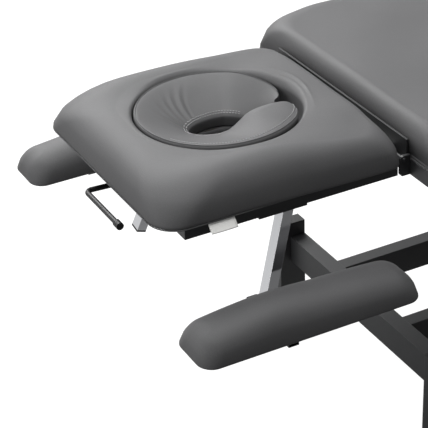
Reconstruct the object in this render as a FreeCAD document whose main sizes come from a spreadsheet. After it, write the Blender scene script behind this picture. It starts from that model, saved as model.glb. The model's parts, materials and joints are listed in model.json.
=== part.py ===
import FreeCAD, Part
import math
import os
import re

# Massage table with a tilting head section, armrests and an electric parallelogram lift.
# Frame: X along the table with the head end at -X, Y across it, Z up from the floor.
# The origin is on the floor under the middle of the overall box.

doc = FreeCAD.newDocument("massage_table")
sheet = doc.addObject("Spreadsheet::Sheet", "Sizes")

# Driving dimensions in millimetres and degrees
sizes = {
    "table_length": 2000, "grip_reach": 24, "crossbar_setback": 542, "base_length": 1300,
    "crossbar_depth": 35, "crossbar_height": 60, "crossbar_top": 195, "base_wall": 2.5,
    "post_length": 60, "post_width": 29, "post_span": 542, "post_rise": 30, "post_foot_gap": 26,
    "cap_thickness": 3, "plug_depth": 20, "plug_gap": 0.3, "foot_radius": 24, "foot_height": 12,
    "foot_stem_radius": 6, "base_rail_span": 275, "base_rail_width": 31,
    "frame_height": 602, "tube_side": 30, "tube_wall": 2, "crosspiece_span": 580, "rear_rail_setback": 40,
    "head_pad_length": 472, "head_pad_width": 492, "pad_thickness": 70, "pad_gap": 27,
    "pad_edge_radius": 42, "head_corner_radius": 70, "board_thickness": 12, "board_inset": 4,
    "recess_from_end": 238, "recess_radius": 157, "breathing_half_length": 58,
    "breathing_half_width": 31, "cushion_radius": 150, "cushion_height": 60, "cushion_slot": 64,
    "cushion_slope_radius": 112, "cushion_seat_gap": 0.3,
    "body_pad_width": 700, "shoulder_taper": 44, "shoulder_length": 126,
    "body_corner_radius": 55, "shoulder_radius": 200,
    "hinge_offset": 12, "hinge_rise": 3, "hinge_step": 8, "hinge_pin_radius": 4, "hinge_boss_radius": 7,
    "hinge_plate": 6, "hinge_plate_gap": 1, "ear_length": 42, "ear_depth": 11,
    "ear_stay_length": 20, "ear_stay": 2, "strip_thickness": 4,
    "strip_rise": 37, "strip_lap": 10, "strip_span": 452, "running_clearance": 0.05,
    "head_rail_span": 453, "head_rail_setback": 52, "head_rail_gap": 4.5,
    "middle_rail_setback": 302, "end_rail_setback": 54,
    "spring_arm": 200, "spring_rest_angle": 110, "spring_droop": 14, "spring_side": 60,
    "spring_eye_radius": 9, "spring_eye_width": 12, "spring_cylinder_radius": 11,
    "spring_cylinder_length": 212, "spring_neck_length": 32, "spring_rod_radius": 5, "spring_rod_length": 188,
    "spring_pin_radius": 4, "lug_thickness": 4, "lug_gap": 1,
    "lever_pivot_setback": 74, "lever_side": 27, "lever_drop": 12, "lever_rise": 4,
    "lever_rod_radius": 5, "lever_bend_radius": 12, "lever_grip_length": 140, "lever_tip_radius": 7,
    "lever_tip_length": 16, "lever_boss_width": 12, "lever_cheek_length": 16, "lever_cheek": 3,
    "armrest_plate_setback": 195, "armrest_plate_length": 95, "armrest_plate_thickness": 4,
    "post_lean": 21, "post_heading": 25.6, "post_setback": 262.6, "post_spacing": 400,
    "post_depth": 20, "post_face": 25, "post_wall": 2, "post_drop": 266, "post_cap": 4,
    "sleeve_wall": 3, "sleeve_gap": 0.5, "sleeve_length": 45, "sleeve_drop": 180,
    "cheek_thickness": 6, "cheek_reach": 38, "cheek_height": 26, "cheek_drop": 5,
    "armrest_overhang": 14, "armrest_length": 428, "armrest_width": 113, "armrest_inner": 297,
    "armrest_drop": 137, "armrest_thickness": 52, "armrest_edge_radius": 24,
    "armrest_corner_radius": 42, "armrest_board": 10, "armrest_board_inset": 4,
    "armrest_plate": 6, "support_tube": 20, "support_reach": 385, "support_setback": 104, "support_inset": 8,
    "support_plate_length": 130, "support_plate_width": 89, "knob_radius": 14,
    "knob_length": 16, "knob_screw_radius": 4, "knob_stand_off": 6,
    "lower_pivot_setback": 760, "pivot_spacing": 480, "lower_pivot_height": 225,
    "upper_pivot_drop": 32, "arm_length": 640, "arm_depth": 44, "arm_width": 25, "arm_gap": 2,
    "arm_wall": 2.5, "arm_boss_radius": 24, "axle_radius": 8, "axle_overhang": 6,
    "pivot_bracket_length": 54, "pivot_plate": 5, "pivot_bracket_margin": 20,
    "cross_tube_radius": 20, "upper_cross_setback": 220, "lift_lever_radius": 170,
    "lift_lever_angle": 64, "lift_lever_plate": 6, "actuator_eye_radius": 12,
    "actuator_eye_width": 14, "actuator_pin_radius": 5, "actuator_tube_radius": 18,
    "actuator_tube_length": 176, "actuator_rod_radius": 10, "actuator_rod_length": 150,
    "rod_neck_length": 42,
    "motor_radius": 27, "motor_length": 70, "motor_offset": 50, "gearbox_length": 36,
    "outrigger_first": 430, "outrigger_second": 930, "spring_rail_setback": 107,
    "control_box_setback": 340, "control_box_length": 150, "control_box_height": 52,
    "control_box_shelf": 3, "inlet_width": 28, "inlet_height": 20, "inlet_depth": 14,
    "tag_width": 50, "tag_drop": 26, "tag_thickness": 1, "tag_setback": 90, "tag_gap": 0.4,
    "screw_radius": 4, "screw_head": 3,
}
for row, (alias, number) in enumerate(sizes.items(), start=1):
    sheet.set(f"A{row}", alias)
    sheet.set(f"B{row}", str(number))
    sheet.setAlias(f"B{row}", alias)
doc.recompute()

# Places worked out from the driving dimensions
places = {
    "head_end": "(grip_reach - table_length) / 2",
    "head_stop": "head_end + head_pad_length",
    "body_start": "head_stop + pad_gap",
    "body_end": "head_end + table_length",
    "body_length": "body_end - body_start",
    "pad_bottom": "frame_height + tube_side",
    "hinge_height": "pad_bottom + hinge_rise",
    "armrest_bottom": "frame_height - armrest_drop",
    "front_rail_x": "body_start - 1.3",
    "hinge_x": "head_stop + hinge_offset",
    "recess_x": "head_end + recess_from_end",
    "crossbar_x": "head_end + crossbar_setback",
    "foot_crossbar_x": "crossbar_x + base_length - crossbar_depth",
    "crossbar_bottom": "crossbar_top - crossbar_height",
    "rail_in": "base_rail_span / 2 - base_rail_width",
    "rail_out": "base_rail_span / 2",
    "lower_front_x": "crossbar_x + lower_pivot_setback",
    "lower_rear_x": "lower_front_x + pivot_spacing",
    "upper_pivot_height": "frame_height - upper_pivot_drop",
    "arm_angle": "asin((upper_pivot_height - lower_pivot_height) / arm_length) / 1 deg",
    "upper_front_x": "lower_front_x - arm_length * cos(arm_angle)",
    "upper_rear_x": "upper_front_x + pivot_spacing",
    "arm_out": "rail_in - arm_gap",
    "arm_in": "arm_out - arm_width",
    "lever_swing": "arm_angle + lift_lever_angle",
    "lift_pin_x": "lower_front_x - lift_lever_radius * cos(lever_swing)",
    "lift_pin_z": "lower_pivot_height + lift_lever_radius * sin(lever_swing)",
    "actuator_x": "lower_front_x - lift_lever_radius",
    "actuator_angle": "90 - lever_swing / 2",
    "actuator_span": "2 * lift_lever_radius * sin(lever_swing / 2)",
    "spring_fixed_angle": "spring_droop + spring_rest_angle",
    "spring_fixed_x": "hinge_x - spring_arm * cos(spring_fixed_angle)",
    "spring_fixed_z": "hinge_height - spring_arm * sin(spring_fixed_angle)",
    "spring_head_x": "hinge_x - spring_arm * cos(spring_droop)",
    "spring_head_z": "hinge_height - spring_arm * sin(spring_droop)",
    "spring_angle": "90 - spring_rest_angle / 2 - spring_droop",
    "spring_span": "2 * spring_arm * sin(spring_rest_angle / 2)",
    "head_rail_x": "head_end + head_rail_setback",
    "head_rail_end": "head_stop + head_rail_gap",
    "head_rail_out": "head_rail_span / 2",
    "head_rail_in": "head_rail_out - tube_side",
    "ear_out": "head_rail_in - ear_stay",
    "ear_in": "ear_out - hinge_plate",
    "inner_plate_out": "ear_in - hinge_plate_gap",
    "post_x": "head_end + post_setback",
    "post_top": "frame_height - armrest_plate_thickness",
    "post_y": "post_spacing / 2",
    "support_z": "armrest_bottom - armrest_plate - support_tube",
    "post_splay": "tan(post_lean) * sin(post_heading)",
    "cheek_y": "post_y + (post_top - support_z - support_tube / 2) * post_splay + post_face / 2",
    "armrest_x": "head_end - armrest_overhang",
}


def formula(text):
    """The text with every size and place spelled out for the sheet."""
    def spell(match):
        word = match.group(0)
        if word in places:
            return "(" + formula(places[word]) + ")"
        return "Sizes." + word if word in sizes else word
    return re.sub(r"[a-z_]+", spell, str(text))


def value(text):
    """The number that a formula gives now."""
    result = sheet.evalExpression(formula(text))
    return float(getattr(result, "Value", result))


nodes = []


def node(label, thing):
    """Names a finished sub-part."""
    thing.Label = label
    nodes.append(thing)
    return thing


def place(thing, at, turn=None, axis=(0, 1, 0)):
    """Binds a place, and a turn in degrees about an axis, to the sheet."""
    if turn is not None:
        thing.Placement.Rotation = FreeCAD.Rotation(FreeCAD.Vector(*axis), 1)
        thing.setExpression("Placement.Rotation.Angle", formula(turn))
    for letter, text in zip("xyz", at):
        thing.setExpression(f"Placement.Base.{letter}", formula(text))
    return thing


def block(size, at):
    """A box from its corner."""
    box = doc.addObject("Part::Box", "Block")
    for side, text in zip(("Length", "Width", "Height"), size):
        box.setExpression(side, formula(text))
    return place(box, at)


def bar(radius, length, at, along="y"):
    """A cylinder that starts at a point and runs along an axis."""
    cylinder = doc.addObject("Part::Cylinder", "Bar")
    cylinder.setExpression("Radius", formula(radius))
    cylinder.setExpression("Height", formula(length))
    if along == "y":
        return place(cylinder, at, -90, (1, 0, 0))
    if along == "x":
        return place(cylinder, at, 90, (0, 1, 0))
    return place(cylinder, at)


def cut(base, *tools):
    """The base with every tool taken out of it."""
    for tool in tools:
        result = doc.addObject("Part::Cut", "Cut")
        result.Base = base
        result.Tool = tool
        base = result
    return base


def join(*pieces):
    """One solid out of several that touch."""
    fuse = doc.addObject("Part::MultiFuse", "Join")
    fuse.Shapes = list(pieces)
    fuse.Refine = True
    return fuse


def group(*pieces):
    """Separate solids that share a node."""
    if len(pieces) == 1:
        return pieces[0]
    compound = doc.addObject("Part::Compound", "Group")
    compound.Links = list(pieces)
    return compound


def tube(size, at, along, wall="tube_wall"):
    """A rectangular tube, open at both ends."""
    bore = []
    start = []
    for letter, side, low in zip("xyz", size, at):
        open_end = letter == along
        bore.append(side if open_end else f"({side}) - 2 * {wall}")
        start.append(low if open_end else f"({low}) + {wall}")
    return cut(block(size, at), block(bore, start))


def both_sides(make):
    """The same piece at +Y and at -Y. make gets the low Y of a piece from its inner and outer face."""
    def low_left(inner, outer):
        return inner

    def low_right(inner, outer):
        return f"-({outer})"
    return make(low_left), make(low_right)


def origin_plane(body, role):
    return next(f for f in body.Origin.OriginFeatures if f.Role == role)


def new_sketch(body, name):
    """A sketch on the body's own XY plane."""
    sketch = body.newObject("Sketcher::SketchObject", name)
    sketch.AttachmentSupport = (origin_plane(body, "XY_Plane"), [""])
    sketch.MapMode = "FlatFace"
    return sketch


def draw_polygon(sketch, corners):
    """A closed outline whose corners are bound to the sheet."""
    import Sketcher
    points = [FreeCAD.Vector(value(x), value(y), 0) for x, y in corners]
    count = len(points)
    for i in range(count):
        sketch.addGeometry(Part.LineSegment(points[i], points[(i + 1) % count]), False)
    for i in range(count):
        sketch.addConstraint(Sketcher.Constraint("Coincident", i, 2, (i + 1) % count, 1))
    for i, (x, y) in enumerate(corners):
        for kind, text, number in (("DistanceX", x, points[i].x), ("DistanceY", y, points[i].y)):
            spot = sketch.addConstraint(Sketcher.Constraint(kind, -1, 1, i, 1, number))
            sketch.setExpression(f"Constraints[{spot}]", formula(text))


def draw_circle(sketch, centre, radius):
    """A circle whose centre and radius are bound to the sheet."""
    import Sketcher
    x, y = (value(text) for text in centre)
    circle = Part.Circle(FreeCAD.Vector(x, y, 0), FreeCAD.Vector(0, 0, 1), value(radius))
    spot = sketch.addGeometry(circle, False)
    for kind, text, number in (("DistanceX", centre[0], x), ("DistanceY", centre[1], y)):
        bound = sketch.addConstraint(Sketcher.Constraint(kind, -1, 1, spot, 3, number))
        sketch.setExpression(f"Constraints[{bound}]", formula(text))
    bound = sketch.addConstraint(Sketcher.Constraint("Radius", spot, value(radius)))
    sketch.setExpression(f"Constraints[{bound}]", formula(radius))


def draw_ellipse(sketch, centre, half_length, half_width):
    """An ellipse along X with its centre and half axes bound to the sheet."""
    import Sketcher
    x, y = (value(text) for text in centre)
    a, b = value(half_length), value(half_width)
    ellipse = Part.Ellipse(FreeCAD.Vector(x + a, y, 0), FreeCAD.Vector(x, y + b, 0), FreeCAD.Vector(x, y, 0))
    spot = sketch.addGeometry(ellipse, False)
    sketch.exposeInternalGeometry(spot)
    for kind, point, text in (("DistanceX", 3, centre[0]), ("DistanceY", 3, centre[1])):
        bound = sketch.addConstraint(Sketcher.Constraint(kind, -1, 1, spot, point, value(text)))
        sketch.setExpression(f"Constraints[{bound}]", formula(text))


def pad_out(body, sketch, length, name="Pad"):
    """Pads a sketch upwards."""
    feature = body.newObject("PartDesign::Pad", name)
    feature.Profile = sketch
    feature.setExpression("Length", formula(length))
    doc.recompute()
    return feature


def pocket(body, sketch, depth, name="Pocket"):
    """Cuts a sketch upwards out of the body, and makes sure that it cut something."""
    before = body.Shape.Volume
    feature = body.newObject("PartDesign::Pocket", name)
    feature.Profile = sketch
    feature.Reversed = True
    feature.setExpression("Length", formula(depth))
    doc.recompute()
    if body.Shape.Volume >= before:
        raise RuntimeError(f"{name} of {body.Label} cut nothing")
    return feature


def round_edges(body, radius, picks, name="Fillet"):
    """Rounds the edges of the body that picks names."""
    shape = body.Shape
    names = [f"Edge{i + 1}" for i, edge in enumerate(shape.Edges) if picks(edge)]
    if not names:
        raise RuntimeError(f"{name} of {body.Label} found no edges")
    tip = body.Tip
    feature = body.newObject("PartDesign::Fillet", name)
    feature.Base = (tip, names)
    feature.setExpression("Radius", formula(radius))
    doc.recompute()
    return feature


def upright(edge):
    """Is the edge a straight vertical one?"""
    if edge.Curve.TypeId != "Part::GeomLine":
        return False
    return abs(abs(edge.tangentAt(edge.FirstParameter).z) - 1) < 1e-6


def upright_near(x_low, x_high):
    """Picks the vertical edges within a stretch of X."""
    low, high = value(x_low), value(x_high)
    return lambda edge: upright(edge) and low <= edge.Vertexes[0].X <= high


def top_rim(height, centre=None, clear=0):
    """Picks the edges that lie at a height, apart from those nearer to a centre than clear."""
    level = value(height)

    def picks(edge):
        if any(abs(v.Z - level) > 1e-4 for v in edge.Vertexes):
            return False
        middle = edge.valueAt((edge.FirstParameter + edge.LastParameter) / 2)
        if abs(middle.z - level) > 1e-4:
            return False
        return centre is None or math.hypot(middle.x - centre[0], middle.y - centre[1]) > clear
    return picks


# Base frame

def base_crossbar(x):
    return tube(("crossbar_depth", "post_span", "crossbar_height"), (x, "-post_span / 2", "crossbar_bottom"),
                "y", "base_wall")


def base_rail(low_y):
    size = ("base_length - 2 * crossbar_depth", "base_rail_width", "crossbar_height")
    return tube(size, ("crossbar_x + crossbar_depth", low_y, "crossbar_bottom"), "x", "base_wall")


post_corners = []
for post_x_low in ("crossbar_x + crossbar_depth - post_length", "foot_crossbar_x"):
    for post_y_low in ("post_span / 2", "-post_span / 2 - post_width"):
        post_corners.append((post_x_low, post_y_low))
post_height = "crossbar_top + post_rise - post_foot_gap"


def base_post(corner):
    x, y = corner
    return tube(("post_length", "post_width", post_height), (x, y, "post_foot_gap"), "z", "base_wall")


def post_plug(corner, cap_low, plug_low):
    """A plastic plug: a cap plate outside the post's end and a block inside it."""
    x, y = corner
    inset = "(base_wall + plug_gap)"
    cap = block(("post_length", "post_width", "cap_thickness"), (x, y, cap_low))
    inner = block((f"post_length - 2 * {inset}", f"post_width - 2 * {inset}", "plug_depth"),
                  (f"{x} + {inset}", f"{y} + {inset}", plug_low))
    return join(cap, inner)


def top_plug(corner):
    top = "crossbar_top + post_rise"
    return post_plug(corner, top, f"{top} - plug_depth")


def bottom_plug(corner):
    x, y = corner
    plug = post_plug(corner, "post_foot_gap - cap_thickness", "post_foot_gap")
    hole = bar("foot_stem_radius + running_clearance", "plug_depth + 2 * cap_thickness",
               (f"{x} + post_length / 2", f"{y} + post_width / 2", "post_foot_gap - 2 * cap_thickness"), "z")
    return cut(plug, hole)


def levelling_foot(corner):
    x, y = corner
    centre = (f"{x} + post_length / 2", f"{y} + post_width / 2")
    pad = bar("foot_radius", "foot_height", (*centre, "0"), "z")
    stem = bar("foot_stem_radius", "post_foot_gap + plug_depth - 2", (*centre, "0"), "z")
    return join(pad, stem)


node("base_crossbar_head", base_crossbar("crossbar_x"))
node("base_crossbar_foot", base_crossbar("foot_crossbar_x"))
left, right = both_sides(lambda low: base_rail(low("rail_in", "rail_out")))
node("base_rail_left", left)
node("base_rail_right", right)
node("base_posts", group(*[base_post(c) for c in post_corners]))
node("post_plugs", group(*[top_plug(c) for c in post_corners], *[bottom_plug(c) for c in post_corners]))
node("levelling_feet", group(*[levelling_foot(c) for c in post_corners]))


# Lift pivots on the base and under the top frame

def pivot_plates(x, z, bottom, height):
    """Two plates on each side, at the inner and outer face of a long rail, drilled for the axle."""
    plates = []
    for inner in ("rail_in", "rail_in + tube_side - pivot_plate"):
        outer = f"{inner} + pivot_plate"
        for low in (inner, f"-({outer})"):
            plate = block(("pivot_bracket_length", "pivot_plate", height),
                          (f"{x} - pivot_bracket_length / 2", low, bottom))
            hole = bar("axle_radius + running_clearance", "pivot_plate * 3", (x, f"{low} - pivot_plate", z))
            plates.append(cut(plate, hole))
    return plates


def axle(x, z):
    half = "(rail_in + tube_side + axle_overhang)"
    return bar("axle_radius", f"2 * {half}", (x, f"-{half}", z))


lower_height = "lower_pivot_height - crossbar_top + pivot_bracket_margin"
lower_plates = []
upper_plates = []
for x in ("lower_front_x", "lower_rear_x"):
    lower_plates += pivot_plates(x, "lower_pivot_height", "crossbar_top", lower_height)
upper_height = "upper_pivot_drop + pivot_bracket_margin"
for x in ("upper_front_x", "upper_rear_x"):
    upper_plates += pivot_plates(x, "upper_pivot_height", f"frame_height - ({upper_height})", upper_height)
node("lower_pivot_plates", group(*lower_plates))
node("upper_pivot_plates", group(*upper_plates))
node("lower_axles", group(axle("lower_front_x", "lower_pivot_height"), axle("lower_rear_x", "lower_pivot_height")))
node("upper_axles", group(axle("upper_front_x", "upper_pivot_height"), axle("upper_rear_x", "upper_pivot_height")))


# Lift arms: built along +X from the upper pivot, then turned down to the lower one

def lift_arm(x, low_y):
    depth = "arm_depth"
    outer = block(("arm_length", "arm_width", depth), ("0", low_y, f"-{depth} / 2"))
    hollow = block(("arm_length - 2 * arm_boss_radius", "arm_width - 2 * arm_wall", f"{depth} - 2 * arm_wall"),
                   ("arm_boss_radius", f"{low_y} + arm_wall", f"-{depth} / 2 + arm_wall"))
    pieces = [cut(outer, hollow)]
    pieces += [bar("arm_boss_radius", "arm_width", (end, low_y, "0")) for end in ("0", "arm_length")]
    holes = [bar("axle_radius + running_clearance", "arm_width * 3", (end, f"{low_y} - arm_width", "0"))
             for end in ("0", "arm_length")]
    return place(cut(join(*pieces), *holes), (x, "0", "upper_pivot_height"), "arm_angle")


def cross_tubes(x):
    """The two round tubes that hold a pair of arms together."""
    pieces = []
    for along in ("upper_cross_setback", "arm_length"):
        outer = bar("cross_tube_radius", "2 * arm_in", (along, "-arm_in", "0"))
        bore = bar("axle_radius + arm_wall", "2 * arm_in", (along, "-arm_in", "0"))
        pieces.append(cut(outer, bore))
    return place(group(*pieces), (x, "0", "upper_pivot_height"), "arm_angle")


for name, x in (("front", "upper_front_x"), ("rear", "upper_rear_x")):
    left, right = both_sides(lambda low: lift_arm(x, low("arm_in", "arm_out")))
    node(f"{name}_arm_left", left)
    node(f"{name}_arm_right", right)
    node(f"{name}_arm_cross_tubes", cross_tubes(x))


# Lift lever on the front arms' lower cross tube, and the actuator that pushes it

def lever_plate(low_y):
    lever = block(("lift_lever_radius", "lift_lever_plate", "2 * actuator_eye_radius"),
                  ("0", low_y, "-actuator_eye_radius"))
    root = bar("cross_tube_radius + lift_lever_plate", "lift_lever_plate", ("0", low_y, "0"))
    eye = bar("actuator_eye_radius", "lift_lever_plate", ("lift_lever_radius", low_y, "0"))
    seat = bar("cross_tube_radius", "lift_lever_plate * 3", ("0", f"{low_y} - lift_lever_plate", "0"))
    pin_hole = bar("actuator_pin_radius", "lift_lever_plate * 3",
                   ("lift_lever_radius", f"{low_y} - lift_lever_plate", "0"))
    return cut(join(lever, root, eye), seat, pin_hole)


def clevis_pin(radius, half, x, z, y="0"):
    return bar(radius, f"2 * ({half})", (x, f"{y} - ({half})", z))


lever_in = "actuator_eye_width / 2 + lug_gap"
lever_out = f"{lever_in} + lift_lever_plate"
lever_plates = group(*both_sides(lambda low: lever_plate(low(lever_in, lever_out))))
place(lever_plates, ("lower_front_x", "0", "lower_pivot_height"), "180 + lever_swing")
lift_pin = clevis_pin("actuator_pin_radius", f"{lever_out} + 3", "lift_pin_x", "lift_pin_z")
node("lift_lever", group(lever_plates, lift_pin))

rail_room = "2 * rail_in"
actuator_rail_x = "actuator_x - tube_side / 2"
node("actuator_rail", tube(("tube_side", rail_room, "tube_side"),
                           (actuator_rail_x, "-rail_in", "crossbar_top - tube_side"), "y"))


def base_lug(low_y):
    lug = block(("tube_side", "lift_lever_plate", "lower_pivot_height - crossbar_top + actuator_eye_radius"),
                (actuator_rail_x, low_y, "crossbar_top"))
    hole = bar("actuator_pin_radius", "lift_lever_plate * 3",
               ("actuator_x", f"{low_y} - lift_lever_plate", "lower_pivot_height"))
    return cut(lug, hole)


base_lugs = both_sides(lambda low: base_lug(low(lever_in, lever_out)))
base_pin = clevis_pin("actuator_pin_radius", f"{lever_out} + 3", "actuator_x", "lower_pivot_height")
node("actuator_lugs", group(*base_lugs, base_pin))


def eye(radius, width, hole, x="0"):
    """A flat eye across Y with a running hole for its pin."""
    return bar(radius, width, (x, f"-({width}) / 2", "0")), bar(hole, f"({width}) * 2", (x, f"-({width})", "0"))


# The actuator lies along its own X from the base pin to the lift pin
eye_disc, eye_hole = eye("actuator_eye_radius", "actuator_eye_width", "actuator_pin_radius + running_clearance")
neck = block(("actuator_eye_radius * 2", "actuator_eye_width", "actuator_eye_radius"),
             ("0", "-actuator_eye_width / 2", "-actuator_eye_radius / 2"))
barrel = bar("actuator_tube_radius", "actuator_tube_length - 2 * actuator_eye_radius",
             ("2 * actuator_eye_radius", "0", "0"), "x")
barrel_bore = bar("actuator_rod_radius + running_clearance", "actuator_tube_length",
                  ("3 * actuator_eye_radius", "0", "0"), "x")
node("actuator_tube", place(cut(join(eye_disc, neck, barrel), eye_hole, barrel_bore),
                            ("actuator_x", "0", "lower_pivot_height"), "-actuator_angle"))
gearbox = block(("gearbox_length", "2 * motor_radius", "motor_offset + 2 * motor_radius"),
                ("3 * actuator_eye_radius", "-motor_radius", "-motor_offset - motor_radius"))
motor = bar("motor_radius", "motor_length", ("3 * actuator_eye_radius", "0", "-motor_offset"), "x")
tube_seat = bar("actuator_tube_radius", "gearbox_length * 3", ("0", "0", "0"), "x")
node("actuator_motor", place(cut(join(gearbox, motor), tube_seat),
                             ("actuator_x", "0", "lower_pivot_height"), "-actuator_angle"))
rod_eye, rod_hole = eye("actuator_eye_radius", "actuator_eye_width", "actuator_pin_radius + running_clearance")
rod_neck = block(("rod_neck_length", "actuator_eye_width", "actuator_eye_radius"),
                 ("-rod_neck_length", "-actuator_eye_width / 2", "-actuator_eye_radius / 2"))
push_rod = bar("actuator_rod_radius", "actuator_rod_length - rod_neck_length",
               ("-actuator_rod_length", "0", "0"), "x")
node("actuator_rod", place(cut(join(rod_eye, rod_neck, push_rod), rod_hole), ("lift_pin_x", "0", "lift_pin_z"),
                           "-actuator_angle"))

# Control box on a shelf between the base rails
box_x = "crossbar_x + control_box_setback"
shelf = block(("control_box_length", rail_room, "control_box_shelf"), (box_x, "-rail_in", "crossbar_bottom"))
case = block(("control_box_length", "rail_in", "control_box_height"),
             (box_x, "-rail_in / 2", "crossbar_bottom + control_box_shelf"))
inlet_room = block(("inlet_depth", "inlet_width", "inlet_height"),
                   (f"{box_x} + control_box_length - inlet_depth", "-inlet_width / 2",
                    "crossbar_bottom + control_box_shelf + 16"))
node("control_box", group(shelf, cut(case, inlet_room)))
inlet = block(("inlet_depth", "inlet_width", "inlet_height"),
              (f"{box_x} + control_box_length - inlet_depth", "-inlet_width / 2",
               "crossbar_bottom + control_box_shelf + 16"))
socket_hollow = block(("inlet_depth", "inlet_width - 8", "inlet_height - 8"),
                      (f"{box_x} + control_box_length - inlet_depth + 4", "-inlet_width / 2 + 4",
                       "crossbar_bottom + control_box_shelf + 20"))
node("mains_inlet", cut(inlet, socket_hollow))


# Top frame under the body pad

def top_rail(low_y):
    size = ("body_length - 2 * tube_side - rear_rail_setback", "tube_side", "tube_side")
    return tube(size, ("front_rail_x + tube_side", low_y, "frame_height"), "x")


def crosspiece(x):
    return tube(("tube_side", "crosspiece_span", "tube_side"), (x, "-crosspiece_span / 2", "frame_height"), "y")


def outrigger(x, low):
    return tube(("tube_side", "crosspiece_span / 2 - rail_in - tube_side", "tube_side"),
                (x, low("rail_in + tube_side", "crosspiece_span / 2"), "frame_height"), "y")


left, right = both_sides(lambda low: top_rail(low("rail_in", "rail_in + tube_side")))
node("top_rail_left", left)
node("top_rail_right", right)
node("top_front_rail", crosspiece("front_rail_x"))
outriggers = [crosspiece("front_rail_x + body_length - tube_side - rear_rail_setback")]
for setback in ("outrigger_first", "outrigger_second"):
    outriggers += both_sides(lambda low: outrigger(f"body_start + {setback}", low))
spring_rail = tube(("tube_side", rail_room, "tube_side"),
                   ("spring_fixed_x - tube_side / 2", "-rail_in", "frame_height"), "y")
node("top_cross_rails", group(*outriggers, spring_rail))

# Gap strip: a flat upright on the front rail's face, between the two pads
strip = block(("strip_thickness", "strip_span", "strip_rise + strip_lap"),
              ("front_rail_x - strip_thickness", "-strip_span / 2", "pad_bottom - strip_lap"))


def strip_slot(low_y):
    """A slot in the strip for a hinge plate, open at the bottom."""
    return block(("strip_thickness * 3", "hinge_plate + 1", "strip_lap + hinge_boss_radius + 5"),
                 ("front_rail_x - 2 * strip_thickness", low_y, "pad_bottom - strip_lap - 1"))


slots = both_sides(lambda low: strip_slot(low("inner_plate_out - hinge_plate - 0.5", "inner_plate_out + 0.5")))
node("gap_strip", cut(strip, *slots))


# Pads and boards, each in its own body

def board_and_pad(name, corners, thickness, board_height, inset_corners, corner_round, bottom, edge_radius, hole):
    """A plywood board and the upholstered pad that wraps it. hole adds openings to both."""
    board = doc.addObject("PartDesign::Body", name + "_board")
    sketch = new_sketch(board, name + "_board_outline")
    draw_polygon(sketch, inset_corners)
    pad_out(board, sketch, board_height, name + "_board_sheet")
    corner_round(board, "inset")
    pad = doc.addObject("PartDesign::Body", name + "_pad_form")
    sketch = new_sketch(pad, name + "_pad_outline")
    draw_polygon(sketch, corners)
    pad_out(pad, sketch, thickness, name + "_pad_block")
    corner_round(pad, "full")
    round_edges(pad, edge_radius, top_rim(thickness), name + "_pad_top_round")
    if hole:
        hole(board, pad)
    for body in (board, pad):
        place(body, ("0", "0", bottom))
    node(name + "_board", board)
    node(name + "_pad", cut(pad, board))


def rectangle(x_low, x_high, y_low, y_high, inset="0"):
    return [(f"{x_low} + {inset}", f"{y_low} + {inset}"), (f"{x_high} - {inset}", f"{y_low} + {inset}"),
            (f"{x_high} - {inset}", f"{y_high} - {inset}"), (f"{x_low} + {inset}", f"{y_high} - {inset}")]


def round_head(body, kind):
    radius = "head_corner_radius" if kind == "full" else "head_corner_radius - board_inset"
    round_edges(body, radius, upright, body.Name + "_corners")


def head_openings(board, pad):
    """The round recess in the pad, and the breathing hole in its board."""
    recess = new_sketch(pad, "recess_outline")
    draw_circle(recess, ("recess_x", "0"), "recess_radius")
    pocket(pad, recess, "pad_thickness", "recess")
    breathing = new_sketch(board, "breathing_outline")
    slot_half = "breathing_half_length - breathing_half_width"
    draw_circle(breathing, (f"recess_x - ({slot_half})", "0"), "breathing_half_width")
    pocket(board, breathing, "board_thickness", "breathing_hole")
    second = new_sketch(board, "breathing_outline_second")
    draw_circle(second, (f"recess_x + {slot_half}", "0"), "breathing_half_width")
    pocket(board, second, "board_thickness", "breathing_hole_second")
    between = new_sketch(board, "breathing_outline_middle")
    draw_polygon(between, rectangle(f"recess_x - ({slot_half})", f"recess_x + {slot_half}",
                                    "-breathing_half_width", "breathing_half_width"))
    pocket(board, between, "board_thickness", "breathing_hole_middle")


half_head = "head_pad_width / 2"
head_full = rectangle("head_end", "head_stop", f"-{half_head}", half_head)
head_inset = rectangle("head_end", "head_stop", f"-{half_head}", half_head, "board_inset")
board_and_pad("head", head_full, "pad_thickness", "board_thickness", head_inset, round_head, "pad_bottom",
              "pad_edge_radius", head_openings)


def body_outline(inset):
    """The body pad's outline: a narrow head edge, two shoulders and a square foot end."""
    front = f"body_pad_width / 2 - shoulder_taper - {inset}"
    wide = f"body_pad_width / 2 - {inset}"
    half = [(f"body_start + {inset}", front), ("body_start + shoulder_length", wide),
            (f"body_end - {inset}", wide)]
    return [(x, f"-({y})") for x, y in half] + list(reversed(half))


def round_body(body, kind):
    less = "0" if kind == "full" else "board_inset"
    round_edges(body, f"body_corner_radius - {less}", lambda e: upright(e) and not shoulder(e),
                body.Name + "_corners")
    round_edges(body, f"shoulder_radius - {less}", lambda e: upright(e) and shoulder(e),
                body.Name + "_shoulders")


def shoulder(edge):
    return abs(edge.Vertexes[0].X - value("body_start + shoulder_length")) < 1e-3


board_and_pad("body", body_outline("0"), "pad_thickness", "board_thickness", body_outline("board_inset"),
              round_body, "pad_bottom", "pad_edge_radius", None)


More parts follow.
